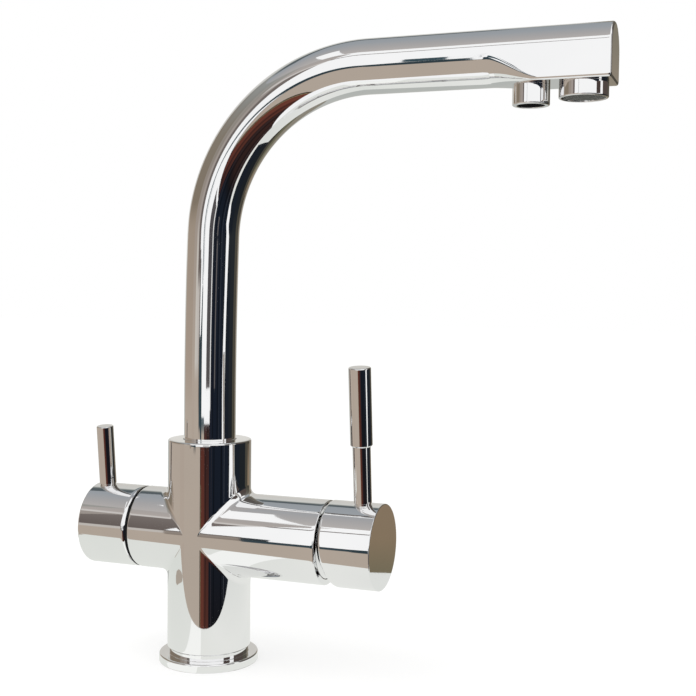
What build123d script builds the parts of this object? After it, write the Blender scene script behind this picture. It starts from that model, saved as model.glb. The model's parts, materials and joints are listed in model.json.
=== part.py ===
from build123d import *
from math import cos, radians, sin, sqrt
import os

# Three-way kitchen tap: one side arm mixes hot and cold water, the other opens filtered water.
# The origin is on the deck under the centre of the column, +Z is up, both side arms and the
# spout lie along X, and the front is towards -Y. All sizes are in millimetres.

# Clearances
running_gap = 0.08
seat_gap = 0.1
body_gap = 0.3
cut_overrun = 1.0

# Base ring and column
column_d = 45.2
column_top = 121.5
base_margin = 4.4
base_h = 4.6
base_edge = 0.9
neck_step = 0.8
neck_h = 3.4
neck_wall = 3.9
gasket_inset = 2.1
gasket_play = 2.2
gasket_t = 1.6
collar_edge = 1.0
column_foot_edge = 0.6

# Side arms
arm_z = 70.3
arm_d = 44.6
arm_blend = 2.5
arm_rim_edge = 0.6
mixer_arm_end = 70.5
filter_arm_end = 38.8
lever_turn = 6.0

# Fixings and water inlets in the foot
tail_circle_r = 11.6
tail_thread_r = 4.45
tail_depth = 12.0
water_angle = 45.0
stud_x = -3.0
stud_spacing = 24.0
stud_r = 3.4
stud_depth = 16.0
duct_r = 3.2

# Spout socket in the column
spigot_play = 0.4
socket_floor = 84.0
nose_play = 0.15
nose_bore_floor = 67.0
grub_r = 2.5
grub_z = 108.8
grub_recess = 1.0
grub_dog_r = 1.1
grub_dog_reach = 1.4
grub_key_r = 1.25
grub_key_depth = 2.5

# Spout tube
tube_d = 28.0
tube_wall = 1.4
tube_start = 118.0
spout_level = 317.3
lean_radius = 2980.0
lean_angle = 1.77
bend_radius = 88.7

# Spout spigot, which turns in the socket
nose_d = 13.9
nose_foot = 74.0
nose_groove_z = 78.0
nose_groove_h = 2.4
nose_groove_depth = 1.6
spigot_wall = 4.1
annulus_z = 86.5
annulus_h = 9.5
annulus_depth = 2.2
port_count = 6
spigot_port_r = 3.0
seal_groove_zs = (98.5, 103.0)
seal_groove_h = 2.5
seal_groove_depth = 1.7
lock_groove_h = 2.8
lock_groove_depth = 1.6
slide_z = 112.0
slide_h = 4.5
slide_depth = 1.2
stub_length = 9.0
stub_gap = 0.05

# Filtered-water pipe inside the spout
pipe_d = 6.0
pipe_wall = 1.0
pipe_foot = 76.0
pipe_bend_top = 311.0

# Spout head
head_start = 150.0
morph_length = 27.0
morph_steps = 4
head_end = 213.4
round_share = 0.985
head_corner = 1.6
head_end_edge = 1.2
head_bore_r = 11.6
head_bore_end = 182.0
head_stub = 8.0
throat_r = 7.0
throat_rise = 1.0

# Main aerator near the tip
aerator_x = 198.7
aerator_r = 11.9
aerator_drop = 7.4
aerator_neck_r = 10.5
aerator_neck_h = 5.6
aerator_seat_h = 7.0
aerator_bore_r = 8.9
aerator_lip_r = 8.2
aerator_lip_h = 1.0
aerator_edge = 0.7
screen_t = 0.7
screen_hole_r = 0.8
screen_pitch = 2.6
screen_rings = 2
insert_wall = 1.2
insert_web_t = 1.5

# Filtered-water outlet
outlet_x = 173.4
outlet_r = 9.1
outlet_drop = 9.8
outlet_neck_r = 7.1
outlet_neck_h = 3.2
outlet_sleeve_r = 4.6
outlet_bore_r = 6.8
outlet_bore_h = 8.6
outlet_edge = 0.7
outlet_gasket_t = 0.8
outlet_gasket_inner_r = 7.3
outlet_gasket_outer_r = 8.5
outlet_insert_h = 4.6
outlet_insert_recess = 0.6
outlet_hole_r = 0.9
outlet_hole_circle_r = 4.0
outlet_hole_count = 8

# Mixer cartridge, from its seat outwards
cartridge_d = 35.0
cartridge_gap = 0.2
seat_x = 34.0
port_r = 3.0
port_side = 8.2
port_drop = 5.5
port_rise = 6.5
port_seal_r = 4.7
port_seal_section = 1.6
port_groove_w = 1.8
base_t = 5.0
fixed_disc_d = 28.0
disc_t = 3.2
moving_disc_d = 19.0
mix_pocket_d = 11.0
mix_pocket_depth = 1.8
carrier_t = 3.6
carrier_pad_w = 8.0
carrier_pad_l = 4.0
carrier_pad_t = 1.5
carrier_pad_place = 6.4
ball_r = 2.2
ball_gap = 0.12
drive_rod_r = 1.4
drive_arm = 8.0
ball_setback = 2.45
housing_wall = 1.7
housing_lid_t = 3.0
rotor_flange_t = 8.4
rotor_neck_d = 25.8
rotor_neck_h = 3.4
rotor_groove_l = 24.0
rotor_groove_depth = 1.7
rotor_slot_l = 13.0
pin_r = 1.5
pin_l = 24.0
stem_w = 8.0
stem_inner = 3.9
lid_hole_gap = 0.4

# Cartridge nut and bonnet in the mouth of the mixer arm
mouth_wall = 3.3
mouth_depth = 14.5
nut_gap = 0.2
nut_bore_r = 14.6
nut_h = 5.6
nut_notch_w = 3.0
nut_notch_depth = 1.6
nut_notch_count = 6
bonnet_wall = 1.2
bonnet_skirt = 3.4
bonnet_hole_r = 13.5

# Mixer knob
knob_proud = 0.2
mixer_knob_end = 100.5
mixer_knob_wall = 2.5
mixer_knob_edge = 0.4
cup_floor_reach = 26.0
rim_gap_top = 1.0
rim_gap_side = 2.75
rim_gap_bottom = 8.0
rim_edge = 1.2
socket_depth = 9.5
mixer_screw_x = 86.0

# Mixer lever
mixer_lever_x = 90.0
mixer_rod_d = 9.4
mixer_grip_d = 11.6
mixer_grip_start = 53.2
mixer_grip_end = 94.3
mixer_grip_cap = 5.0
grip_edge = 0.7
lever_seat_depth = 1.5
lever_stud_r = 3.0
lever_stud_l = 8.5
lever_neck_h = 0.8
lever_neck_depth = 0.35

# Filter valve, from its seat outwards
valve_seat_x = 22.0
valve_port_r = 3.2
chamber_r = 11.5
chamber_l = 12.0
valve_nose_r = 7.0
valve_nose_l = 2.0
valve_web_t = 1.0
valve_seal_t = 1.6
valve_seal_inner_r = 4.4
valve_body_r = 10.0
valve_bore_r = 8.0
valve_window_w = 6.0
valve_window_l = 2.4
valve_hex_r = 14.0
valve_hex_l = 2.2
valve_neck_r = 8.2
valve_neck_l = 3.0
valve_disc_t = 3.0
valve_disc_r = 7.7
valve_slot_r = 3.0
valve_slot_place = 3.6
valve_groove_w = 1.6
valve_groove_setback = 2.4
valve_o_ring_section = 1.35
spindle_r = 5.0
spindle_head_l = 3.7
spindle_square_w = 7.0
spindle_square_l = 10.5
spindle_groove_w = 1.5
spindle_ring_section = 1.1
spindle_ring_setback = 6.0
glide_ring_inset = 0.7
glide_ring_t = 0.7
feed_turn_z = 46.0
feed_mouth_x = -27.5
feed_mouth_drop = 9.3

# Filter knob and lever
filter_knob_end = 69.9
filter_rim_gap = 1.1
filter_rim_edge = 2.4
filter_knob_edge = 0.6
filter_cavity_r = 16.0
filter_cavity_l = 7.6
filter_lever_x = 62.8
filter_rod_d = 9.3
filter_lever_end = 55.9
filter_rod_edge = 0.5
filter_screw_x = 52.5
set_screw_l = 7.0

# Places worked out from the sizes above
column_r = column_d / 2
base_d = column_d + 2 * base_margin
neck_d = column_d - 2 * neck_step
foot_d = neck_d - 2 * neck_wall
gasket_d = base_d - 2 * gasket_inset
gasket_bore = foot_d + 2 * gasket_play
arm_r = arm_d / 2
mouth_r = arm_r - mouth_wall
nut_r = mouth_r - nut_gap
tube_r = tube_d / 2
pipe_r = pipe_d / 2
spigot_r = tube_r
spigot_bore_r = spigot_r - spigot_wall
socket_r = spigot_r + spigot_play
nose_bore_r = nose_d / 2 + nose_play
neck_top = base_h + neck_h
tail_x = tail_circle_r * cos(radians(water_angle))
tail_y = tail_circle_r * sin(radians(water_angle))
lean = radians(lean_angle)
lean_start = spout_level - lean_radius * sin(lean) - bend_radius * (1 - sin(lean))
head_bottom = spout_level - tube_r
aerator_bottom = head_bottom - aerator_drop
outlet_bottom = head_bottom - outlet_drop
base_out_x = seat_x + base_t
fixed_out_x = base_out_x + disc_t
moving_x = fixed_out_x + running_gap
carrier_x = moving_x + disc_t
rotor_x = carrier_x + carrier_t + running_gap
rotor_shoulder_x = rotor_x + rotor_flange_t
housing_lid_x = rotor_shoulder_x + running_gap
housing_out_x = housing_lid_x + housing_lid_t
pivot_x = carrier_x + ball_setback + drive_arm
ball_x = pivot_x - drive_arm
cartridge_r = cartridge_d / 2
rotor_r = cartridge_r - housing_wall - running_gap
knob_floor_x = pivot_x + cup_floor_reach
mixer_knob_r = arm_r + knob_proud
knob_bore_r = mixer_knob_r - mixer_knob_wall
filter_knob_r = arm_r
valve_nose_x = valve_seat_x + valve_seal_t
valve_disc_x = valve_nose_x + valve_nose_l
valve_moving_x = valve_disc_x + valve_disc_t + running_gap
spindle_head_x = valve_moving_x + valve_disc_t
spindle_neck_x = spindle_head_x + spindle_head_l
valve_bearing_x = spindle_neck_x + running_gap
valve_out_x = filter_arm_end + valve_hex_l + valve_neck_l
glide_ring_r = arm_r - glide_ring_inset
filter_rim_x = filter_arm_end + filter_rim_gap
filter_socket_x = filter_rim_x + filter_cavity_l

arm_axis = Axis((0, 0, arm_z), (1, 0, 0))


def across(x, turn=0.0):
    """A plane square to the arms at x, with local x to the back and local y up, turned about the arms."""
    back = (0, cos(radians(turn)), sin(radians(turn)))
    return Plane(origin=(x, 0, arm_z), x_dir=back, z_dir=(1, 0, 0))


def beside(turn=0.0):
    """The plane through the arm axis and the lever, with local x along the arms and local y up."""
    return Plane(origin=(0, 0, arm_z), x_dir=(1, 0, 0), z_dir=(0, -cos(radians(turn)), -sin(radians(turn))))


def up_lever(x, height):
    """A plane square to a lever at x, at a height above the arm axis."""
    lever = Vector(0, -sin(radians(lever_turn)), cos(radians(lever_turn)))
    return Plane(origin=Vector(x, 0, arm_z) + lever * height, x_dir=(1, 0, 0), z_dir=lever)


# Chrome casting: column, both side arms, the waterways and the seats of everything in it
ducts = [
    ((tail_x, tail_y, 0), (tail_x, tail_y, arm_z - port_drop), duct_r),
    ((tail_x, -tail_y, 0), (tail_x, -tail_y, arm_z - port_drop), duct_r),
    ((tail_x, tail_y, arm_z - port_drop), (seat_x, port_side, arm_z - port_drop), port_r),
    ((tail_x, -tail_y, arm_z - port_drop), (seat_x, -port_side, arm_z - port_drop), port_r),
    ((seat_x, 0, arm_z + port_rise), (0, 0, annulus_z + annulus_h / 2), port_r),
    ((-tail_circle_r, 0, 0), (-tail_circle_r, 0, feed_turn_z), duct_r),
    ((-tail_circle_r, 0, feed_turn_z), (feed_mouth_x, 0, arm_z - feed_mouth_drop), duct_r),
    ((-valve_seat_x, 0, arm_z), (0, 0, arm_z), valve_port_r),
]
with BuildPart() as body_casting:
    with BuildSketch(Plane.XY.offset(neck_top)):
        Circle(column_r)
    extrude(amount=column_top - neck_top)
    fillet(body_casting.edges().sort_by(Axis.Z)[-1], collar_edge)
    fillet(body_casting.edges().filter_by(GeomType.CIRCLE).sort_by(Axis.Z)[0], column_foot_edge)
    with BuildSketch(across(-filter_arm_end)):
        Circle(arm_r)
    extrude(amount=filter_arm_end + mixer_arm_end)
    fillet(body_casting.edges().filter_by(GeomType.BSPLINE), arm_blend)
    with BuildSketch(Plane.XY):
        Circle(foot_d / 2)
    extrude(amount=neck_top)
    for end in (body_casting.faces().sort_by(Axis.X)[0], body_casting.faces().sort_by(Axis.X)[-1]):
        fillet(end.edges(), arm_rim_edge)
    with BuildSketch(Plane.XY.offset(socket_floor)):
        Circle(socket_r)
    extrude(amount=column_top - socket_floor, mode=Mode.SUBTRACT)
    with BuildSketch(Plane.XY.offset(nose_bore_floor)):
        Circle(nose_bore_r)
    extrude(amount=socket_floor - nose_bore_floor, mode=Mode.SUBTRACT)
    with BuildSketch(across(seat_x)):
        Circle(cartridge_r + cartridge_gap)
    extrude(amount=mixer_arm_end - seat_x, mode=Mode.SUBTRACT)
    with BuildSketch(across(mixer_arm_end)):
        Circle(mouth_r)
    extrude(amount=-mouth_depth, mode=Mode.SUBTRACT)
    with BuildSketch(across(-valve_seat_x)):
        Circle(chamber_r)
    extrude(amount=-chamber_l, mode=Mode.SUBTRACT)
    with BuildSketch(across(-filter_arm_end)):
        Circle(valve_body_r + seat_gap)
    extrude(amount=filter_arm_end - valve_seat_x - chamber_l, mode=Mode.SUBTRACT)
    for start, end, radius in ducts:
        way = Vector(*end) - Vector(*start)
        with BuildSketch(Plane(origin=start, z_dir=way)):
            Circle(radius)
        extrude(amount=way.length, mode=Mode.SUBTRACT)
    with BuildSketch(Plane.XY):
        with Locations((tail_x, tail_y), (tail_x, -tail_y), (-tail_circle_r, 0)):
            Circle(tail_thread_r)
    extrude(amount=tail_depth, mode=Mode.SUBTRACT)
    with BuildSketch(Plane.XY):
        with Locations((stud_x, stud_spacing / 2), (stud_x, -stud_spacing / 2)):
            Circle(stud_r)
    extrude(amount=stud_depth, mode=Mode.SUBTRACT)
    with BuildSketch(Plane.XZ.offset(-column_r)):
        with Locations((0, grub_z)):
            Circle(grub_r)
    extrude(amount=column_r - socket_r + cut_overrun, mode=Mode.SUBTRACT)

# Flange that the column stands on, with its neck and the groove for the deck gasket
with BuildPart() as base_ring:
    with BuildSketch():
        Circle(base_d / 2)
    extrude(amount=base_h)
    fillet(base_ring.edges().sort_by(Axis.Z)[-1], base_edge)
    with BuildSketch(Plane.XY.offset(base_h)):
        Circle(neck_d / 2)
    extrude(amount=neck_h)
    with BuildSketch():
        Circle(foot_d / 2 + seat_gap)
    extrude(amount=neck_top, mode=Mode.SUBTRACT)
    with BuildSketch():
        Circle(gasket_d / 2 + seat_gap)
        Circle(gasket_bore / 2 - seat_gap, mode=Mode.SUBTRACT)
    extrude(amount=gasket_t, mode=Mode.SUBTRACT)

with BuildPart() as base_gasket:
    with BuildSketch():
        Circle(gasket_d / 2)
        Circle(gasket_bore / 2, mode=Mode.SUBTRACT)
    extrude(amount=gasket_t)

# Grub screw in the back of the column, whose tip runs in the spigot's groove and keeps the spout in
with BuildPart() as spout_retaining_screw:
    with BuildSketch(Plane.XZ.offset(-socket_r)):
        with Locations((0, grub_z)):
            Circle(grub_dog_r)
    extrude(amount=grub_dog_reach)
    with BuildSketch(Plane.XZ.offset(-socket_r)):
        with Locations((0, grub_z)):
            Circle(grub_r - seat_gap)
    extrude(amount=-(column_r - socket_r - grub_recess))
    with BuildSketch(Plane.XZ.offset(-(column_r - grub_recess))):
        with Locations((0, grub_z)):
            RegularPolygon(grub_key_r, 6)
    extrude(amount=grub_key_depth, mode=Mode.SUBTRACT)

# Spigot that turns in the column: nose, seal grooves, water ports, locking groove and slide ring seat
lock_groove_z = grub_z - lock_groove_h / 2
spigot_grooves = [(annulus_z, annulus_h, annulus_depth), (lock_groove_z, lock_groove_h, lock_groove_depth)]
spigot_grooves += [(z, seal_groove_h, seal_groove_depth) for z in seal_groove_zs]
spigot_grooves += [(slide_z, slide_h, slide_depth)]
with BuildPart() as spout_spigot:
    with BuildSketch(Plane.XY.offset(nose_foot)):
        Circle(nose_d / 2)
    extrude(amount=socket_floor + body_gap - nose_foot)
    with BuildSketch(Plane.XY.offset(socket_floor + body_gap)):
        Circle(spigot_r)
    extrude(amount=tube_start - socket_floor - body_gap)
    with BuildSketch(Plane.XY.offset(tube_start)):
        Circle(tube_r - tube_wall - stub_gap)
    extrude(amount=stub_length)
    for z, height, depth in spigot_grooves:
        with BuildSketch(Plane.XY.offset(z)):
            Circle(spigot_r + cut_overrun)
            Circle(spigot_r - depth, mode=Mode.SUBTRACT)
        extrude(amount=height, mode=Mode.SUBTRACT)
    with BuildSketch(Plane.XY.offset(nose_groove_z)):
        Circle(nose_d / 2 + cut_overrun)
        Circle(nose_d / 2 - nose_groove_depth, mode=Mode.SUBTRACT)
    extrude(amount=nose_groove_h, mode=Mode.SUBTRACT)
    with BuildSketch(Plane.XY.offset(annulus_z)):
        Circle(spigot_bore_r)
    extrude(amount=tube_start + stub_length - annulus_z, mode=Mode.SUBTRACT)
    with BuildSketch(Plane.XY.offset(pipe_foot)):
        Circle(pipe_r)
    extrude(amount=annulus_z - pipe_foot, mode=Mode.SUBTRACT)
    with BuildSketch(Plane.XY.offset(nose_foot)):
        Circle(pipe_r - pipe_wall)
    extrude(amount=pipe_foot - nose_foot, mode=Mode.SUBTRACT)
    with PolarLocations(0, port_count):
        with Locations(Location((spigot_r, 0, annulus_z + annulus_h / 2), (0, 90, 0))):
            Cylinder(spigot_port_r, spigot_r, mode=Mode.SUBTRACT)


def o_ring(inner_r, section, z):
    """A round sealing ring about the column's axis: its inner radius, its section and its lowest height."""
    with BuildPart() as ring:
        with Locations((0, 0, z + section / 2)):
            Torus(inner_r + section / 2, section / 2)
    return ring.part


seal_section = seal_groove_depth + socket_r - spigot_r - running_gap
nose_section = nose_groove_depth + nose_bore_r - nose_d / 2 - running_gap
with BuildPart() as spout_o_rings:
    for z in seal_groove_zs:
        add(o_ring(spigot_r - seal_groove_depth, seal_section, z + seat_gap))
    add(o_ring(nose_d / 2 - nose_groove_depth, nose_section, nose_groove_z + seat_gap))

with BuildPart() as spout_slide_ring:
    with BuildSketch(Plane.XY.offset(slide_z)):
        Circle(socket_r - running_gap)
        Circle(spigot_r - slide_depth, mode=Mode.SUBTRACT)
    extrude(amount=slide_h)

# Spout tube: upright, then a long slight lean, one even bend and a level run to the head
with BuildLine(Plane.XZ) as spout_line:
    riser = Line((0, tube_start), (0, lean_start))
    lean_arc = JernArc(riser @ 1, riser % 1, lean_radius, -lean_angle)
    bend_arc = JernArc(lean_arc @ 1, lean_arc % 1, bend_radius, lean_angle - 90)
    Line(bend_arc @ 1, (head_start, spout_level))
with BuildPart() as spout_tube:
    with BuildSketch(Plane.XY.offset(tube_start)):
        Circle(tube_r)
        Circle(tube_r - tube_wall, mode=Mode.SUBTRACT)
    sweep(path=spout_line.line)

pipe_bend = spout_level - pipe_bend_top
with BuildLine(Plane.XZ) as pipe_line:
    rise = Line((0, pipe_foot), (0, lean_start))
    pipe_lean = JernArc(rise @ 1, rise % 1, lean_radius, -lean_angle)
    pipe_turn = JernArc(pipe_lean @ 1, pipe_lean % 1, bend_radius, lean_angle - 90)
    run = Line(pipe_turn @ 1, (outlet_x - pipe_bend, spout_level))
    drop = JernArc(run @ 1, run % 1, pipe_bend, -90)
    Line(drop @ 1, (outlet_x, head_bottom + outlet_neck_h))
with BuildPart() as filter_pipe:
    with BuildSketch(Plane.XY.offset(pipe_foot)):
        Circle(pipe_r)
        Circle(pipe_r - pipe_wall, mode=Mode.SUBTRACT)
    sweep(path=pipe_line.line)


def head_outline(x, corner):
    """The head's section at x: a half-round top, upright sides and a flat underside with rounded corners."""
    section_plane = Plane(origin=(x, 0, spout_level), x_dir=(0, 1, 0), z_dir=(1, 0, 0))
    inner = tube_r - corner
    slant = corner * sqrt(2) / 2
    with BuildSketch(section_plane) as section:
        with BuildLine():
            Line((-inner, -tube_r), (inner, -tube_r))
            ThreePointArc((inner, -tube_r), (inner + slant, -inner - slant), (tube_r, -inner))
            Line((tube_r, -inner), (tube_r, 0))
            ThreePointArc((tube_r, 0), (0, tube_r), (-tube_r, 0))
            Line((-tube_r, 0), (-tube_r, -inner))
            ThreePointArc((-tube_r, -inner), (-inner - slant, -inner - slant), (-inner, -tube_r))
        make_face()
    return section.sketch


# Spout head: the round tube's section changes into an upturned U with a flat underside
round_corner = tube_r * round_share
with BuildPart() as spout_head:
    sections = []
    for step in range(morph_steps + 1):
        share = step / morph_steps
        corner = round_corner + (head_corner - round_corner) * share
        sections.append(head_outline(head_start + morph_length * share, corner))
    loft(sections=sections)
    extrude(head_outline(head_start + morph_length, head_corner), amount=head_end - head_start - morph_length)
    fillet(spout_head.faces().sort_by(Axis.X)[-1].edges(), head_end_edge)
    with BuildSketch(Plane(origin=(head_start - head_stub, 0, spout_level), x_dir=(0, 1, 0), z_dir=(1, 0, 0))):
        Circle(tube_r - tube_wall - stub_gap)
    extrude(amount=head_stub)
    with BuildSketch(Plane(origin=(head_bore_end, 0, spout_level), x_dir=(0, 1, 0), z_dir=(-1, 0, 0))):
        Circle(head_bore_r)
    extrude(amount=head_bore_end - head_start + head_stub, mode=Mode.SUBTRACT)
    throat_plane = Plane(origin=(aerator_x, 0, spout_level + throat_rise), x_dir=(0, 1, 0), z_dir=(-1, 0, 0))
    with BuildSketch(throat_plane):
        Circle(throat_r)
    extrude(amount=aerator_x - head_bore_end, mode=Mode.SUBTRACT)
    with BuildSketch(Plane.XY.offset(head_bottom)):
        with Locations((aerator_x, 0)):
            Circle(throat_r)
    extrude(amount=tube_r + throat_rise, mode=Mode.SUBTRACT)
    with BuildSketch(Plane.XY.offset(head_bottom)):
        with Locations((aerator_x, 0)):
            Circle(aerator_neck_r + seat_gap)
    extrude(amount=aerator_seat_h, mode=Mode.SUBTRACT)
    with BuildSketch(Plane.XY.offset(head_bottom)):
        with Locations((outlet_x, 0)):
            Circle(outlet_neck_r + seat_gap)
    extrude(amount=tube_r, mode=Mode.SUBTRACT)

# Main aerator: threaded housing, plastic insert, screen at its mouth and gasket on its seat
with BuildPart() as main_aerator_housing:
    with BuildSketch(Plane.XY.offset(aerator_bottom)):
        with Locations((aerator_x, 0)):
            Circle(aerator_r)
    extrude(amount=aerator_drop)
    fillet(main_aerator_housing.edges().sort_by(Axis.Z)[0], aerator_edge)
    with BuildSketch(Plane.XY.offset(head_bottom)):
        with Locations((aerator_x, 0)):
            Circle(aerator_neck_r)
    extrude(amount=aerator_neck_h)
    with BuildSketch(Plane.XY.offset(aerator_bottom + aerator_lip_h)):
        with Locations((aerator_x, 0)):
            Circle(aerator_bore_r)
    extrude(amount=aerator_drop + aerator_neck_h, mode=Mode.SUBTRACT)
    with BuildSketch(Plane.XY.offset(aerator_bottom)):
        with Locations((aerator_x, 0)):
            Circle(aerator_lip_r)
    extrude(amount=aerator_lip_h, mode=Mode.SUBTRACT)

screen_bottom = aerator_bottom + aerator_lip_h
with BuildPart() as main_aerator_screen:
    with BuildSketch(Plane.XY.offset(screen_bottom)):
        with Locations((aerator_x, 0)):
            Circle(aerator_bore_r - seat_gap)
            Circle(screen_hole_r, mode=Mode.SUBTRACT)
            for ring in range(1, screen_rings + 1):
                with PolarLocations(screen_pitch * ring, 6 * ring):
                    Circle(screen_hole_r, mode=Mode.SUBTRACT)
    extrude(amount=screen_t)

insert_top = head_bottom + aerator_neck_h
with BuildPart() as main_aerator_insert:
    with BuildSketch(Plane.XY.offset(screen_bottom + screen_t)):
        with Locations((aerator_x, 0)):
            Circle(aerator_bore_r - seat_gap)
            Circle(aerator_bore_r - seat_gap - insert_wall, mode=Mode.SUBTRACT)
    extrude(amount=insert_top - screen_bottom - screen_t)
    with BuildSketch(Plane.XY.offset(insert_top - insert_web_t)):
        with Locations((aerator_x, 0)):
            Circle(aerator_bore_r - seat_gap)
            with PolarLocations(screen_pitch * screen_rings, 6 * screen_rings):
                Circle(screen_hole_r, mode=Mode.SUBTRACT)
    extrude(amount=insert_web_t)

with BuildPart() as main_aerator_gasket:
    with BuildSketch(Plane.XY.offset(insert_top)):
        with Locations((aerator_x, 0)):
            Circle(aerator_neck_r)
            Circle(throat_r, mode=Mode.SUBTRACT)
    extrude(amount=aerator_seat_h - aerator_neck_h)

# Filtered-water outlet: nozzle that grips the inner pipe, its insert and its gasket
with BuildPart() as filter_outlet_nozzle:
    with BuildSketch(Plane.XY.offset(outlet_bottom)):
        with Locations((outlet_x, 0)):
            Circle(outlet_r)
    extrude(amount=outlet_drop)
    fillet(filter_outlet_nozzle.edges().sort_by(Axis.Z)[0], outlet_edge)
    with BuildSketch(Plane.XY.offset(head_bottom)):
        with Locations((outlet_x, 0)):
            Circle(outlet_neck_r)
    extrude(amount=outlet_neck_h)
    with BuildSketch(Plane.XY.offset(head_bottom + outlet_neck_h)):
        with Locations((outlet_x, 0)):
            Circle(outlet_sleeve_r)
    extrude(amount=pipe_bend_top - head_bottom - outlet_neck_h)
    with BuildSketch(Plane.XY.offset(outlet_bottom)):
        with Locations((outlet_x, 0)):
            Circle(outlet_bore_r)
    extrude(amount=outlet_bore_h, mode=Mode.SUBTRACT)
    with BuildSketch(Plane.XY.offset(outlet_bottom)):
        with Locations((outlet_x, 0)):
            Circle(pipe_r - pipe_wall)
    extrude(amount=outlet_drop + outlet_neck_h, mode=Mode.SUBTRACT)
    with BuildSketch(Plane.XY.offset(head_bottom + outlet_neck_h)):
        with Locations((outlet_x, 0)):
            Circle(pipe_r)
    extrude(amount=pipe_bend_top - head_bottom - outlet_neck_h, mode=Mode.SUBTRACT)
    with BuildSketch(Plane.XY.offset(head_bottom)):
        with Locations((outlet_x, 0)):
            Circle(outlet_gasket_outer_r)
            Circle(outlet_gasket_inner_r, mode=Mode.SUBTRACT)
    extrude(amount=-outlet_gasket_t, mode=Mode.SUBTRACT)

with BuildPart() as filter_outlet_gasket:
    with BuildSketch(Plane.XY.offset(head_bottom)):
        with Locations((outlet_x, 0)):
            Circle(outlet_gasket_outer_r)
            Circle(outlet_gasket_inner_r, mode=Mode.SUBTRACT)
    extrude(amount=-outlet_gasket_t)

with BuildPart() as filter_outlet_insert:
    with BuildSketch(Plane.XY.offset(outlet_bottom + outlet_insert_recess)):
        with Locations((outlet_x, 0)):
            Circle(outlet_bore_r)
            with PolarLocations(outlet_hole_circle_r, outlet_hole_count):
                Circle(outlet_hole_r, mode=Mode.SUBTRACT)
            Circle(outlet_hole_r, mode=Mode.SUBTRACT)
    extrude(amount=outlet_insert_h)

# Mixer cartridge: base with three ports, seals, two ceramic discs, carrier, rotor and housing
ports = [(port_side, -port_drop), (-port_side, -port_drop), (0, port_rise)]
with BuildPart() as mixer_cartridge_base:
    with BuildSketch(across(seat_x)):
        Circle(cartridge_r)
        with Locations(*ports):
            Circle(port_r, mode=Mode.SUBTRACT)
    extrude(amount=base_t)
    with BuildSketch(across(seat_x)):
        with Locations(*ports):
            Circle(port_seal_r + port_groove_w / 2)
        with Locations(*ports):
            Circle(port_seal_r - port_groove_w / 2, mode=Mode.SUBTRACT)
    extrude(amount=port_seal_section, mode=Mode.SUBTRACT)

with BuildPart() as mixer_port_seals:
    with Locations(across(seat_x + port_seal_section / 2)):
        with Locations(*ports):
            Torus(port_seal_r, port_seal_section / 2)

with BuildPart() as mixer_fixed_disc:
    with BuildSketch(across(base_out_x)):
        Circle(fixed_disc_d / 2)
        with Locations(*ports):
            Circle(port_r, mode=Mode.SUBTRACT)
    extrude(amount=disc_t)

with BuildPart() as mixer_moving_disc:
    with BuildSketch(across(moving_x, lever_turn)):
        Circle(moving_disc_d / 2)
    extrude(amount=disc_t)
    with BuildSketch(across(moving_x, lever_turn)):
        Circle(mix_pocket_d / 2)
    extrude(amount=mix_pocket_depth, mode=Mode.SUBTRACT)

with BuildPart() as mixer_disc_carrier:
    with BuildSketch(across(carrier_x, lever_turn)):
        Circle(moving_disc_d / 2)
    extrude(amount=carrier_t)
    with BuildSketch(across(carrier_x + carrier_t, lever_turn)):
        with Locations((0, carrier_pad_place), (0, -carrier_pad_place)):
            Rectangle(carrier_pad_w, carrier_pad_l)
    extrude(amount=carrier_pad_t)
    with BuildSketch(across(carrier_x, lever_turn)):
        Circle(ball_r + ball_gap)
    extrude(amount=carrier_t, mode=Mode.SUBTRACT)

with BuildPart() as mixer_rotor:
    with BuildSketch(across(rotor_x)):
        Circle(rotor_r)
    extrude(amount=rotor_flange_t)
    with BuildSketch(across(rotor_shoulder_x)):
        Circle(rotor_neck_d / 2)
    extrude(amount=rotor_neck_h)
    with BuildSketch(across(rotor_x, lever_turn)):
        Rectangle(carrier_pad_w + 2 * running_gap, rotor_groove_l)
    extrude(amount=rotor_groove_depth, mode=Mode.SUBTRACT)
    with BuildSketch(across(rotor_x, lever_turn)):
        Rectangle(stem_w + 2 * running_gap, rotor_slot_l)
    extrude(amount=rotor_flange_t + rotor_neck_h, mode=Mode.SUBTRACT)
    with BuildSketch(beside(lever_turn)):
        with Locations((pivot_x, 0)):
            Circle(pin_r)
    extrude(amount=pin_l / 2, both=True, mode=Mode.SUBTRACT)

with BuildPart() as mixer_pivot_pin:
    with BuildSketch(beside(lever_turn)):
        with Locations((pivot_x, 0)):
            Circle(pin_r)
    extrude(amount=pin_l / 2, both=True)

with BuildPart() as mixer_cartridge_housing:
    with BuildSketch(across(base_out_x)):
        Circle(cartridge_r)
    extrude(amount=housing_out_x - base_out_x)
    with BuildSketch(across(base_out_x)):
        Circle(fixed_disc_d / 2 + seat_gap)
    extrude(amount=disc_t, mode=Mode.SUBTRACT)
    with BuildSketch(across(fixed_out_x)):
        Circle(cartridge_r - housing_wall)
    extrude(amount=housing_lid_x - fixed_out_x, mode=Mode.SUBTRACT)
    with BuildSketch(across(housing_lid_x)):
        Circle(rotor_neck_d / 2 + lid_hole_gap)
    extrude(amount=housing_lid_t, mode=Mode.SUBTRACT)

# Stem from the drive ball through the pivot to the knob
with BuildPart() as mixer_stem:
    with BuildSketch(across(pivot_x - stem_inner, lever_turn)):
        Rectangle(stem_w, stem_w)
    extrude(amount=knob_floor_x + socket_depth - seat_gap - pivot_x + stem_inner)
    with BuildSketch(across(ball_x, lever_turn)):
        Circle(drive_rod_r)
    extrude(amount=drive_arm - stem_inner)
    with Locations((ball_x, 0, arm_z)):
        Sphere(ball_r)
    with BuildSketch(beside(lever_turn)):
        with Locations((pivot_x, 0)):
            Circle(pin_r + running_gap)
    extrude(amount=stem_w, both=True, mode=Mode.SUBTRACT)

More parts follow.
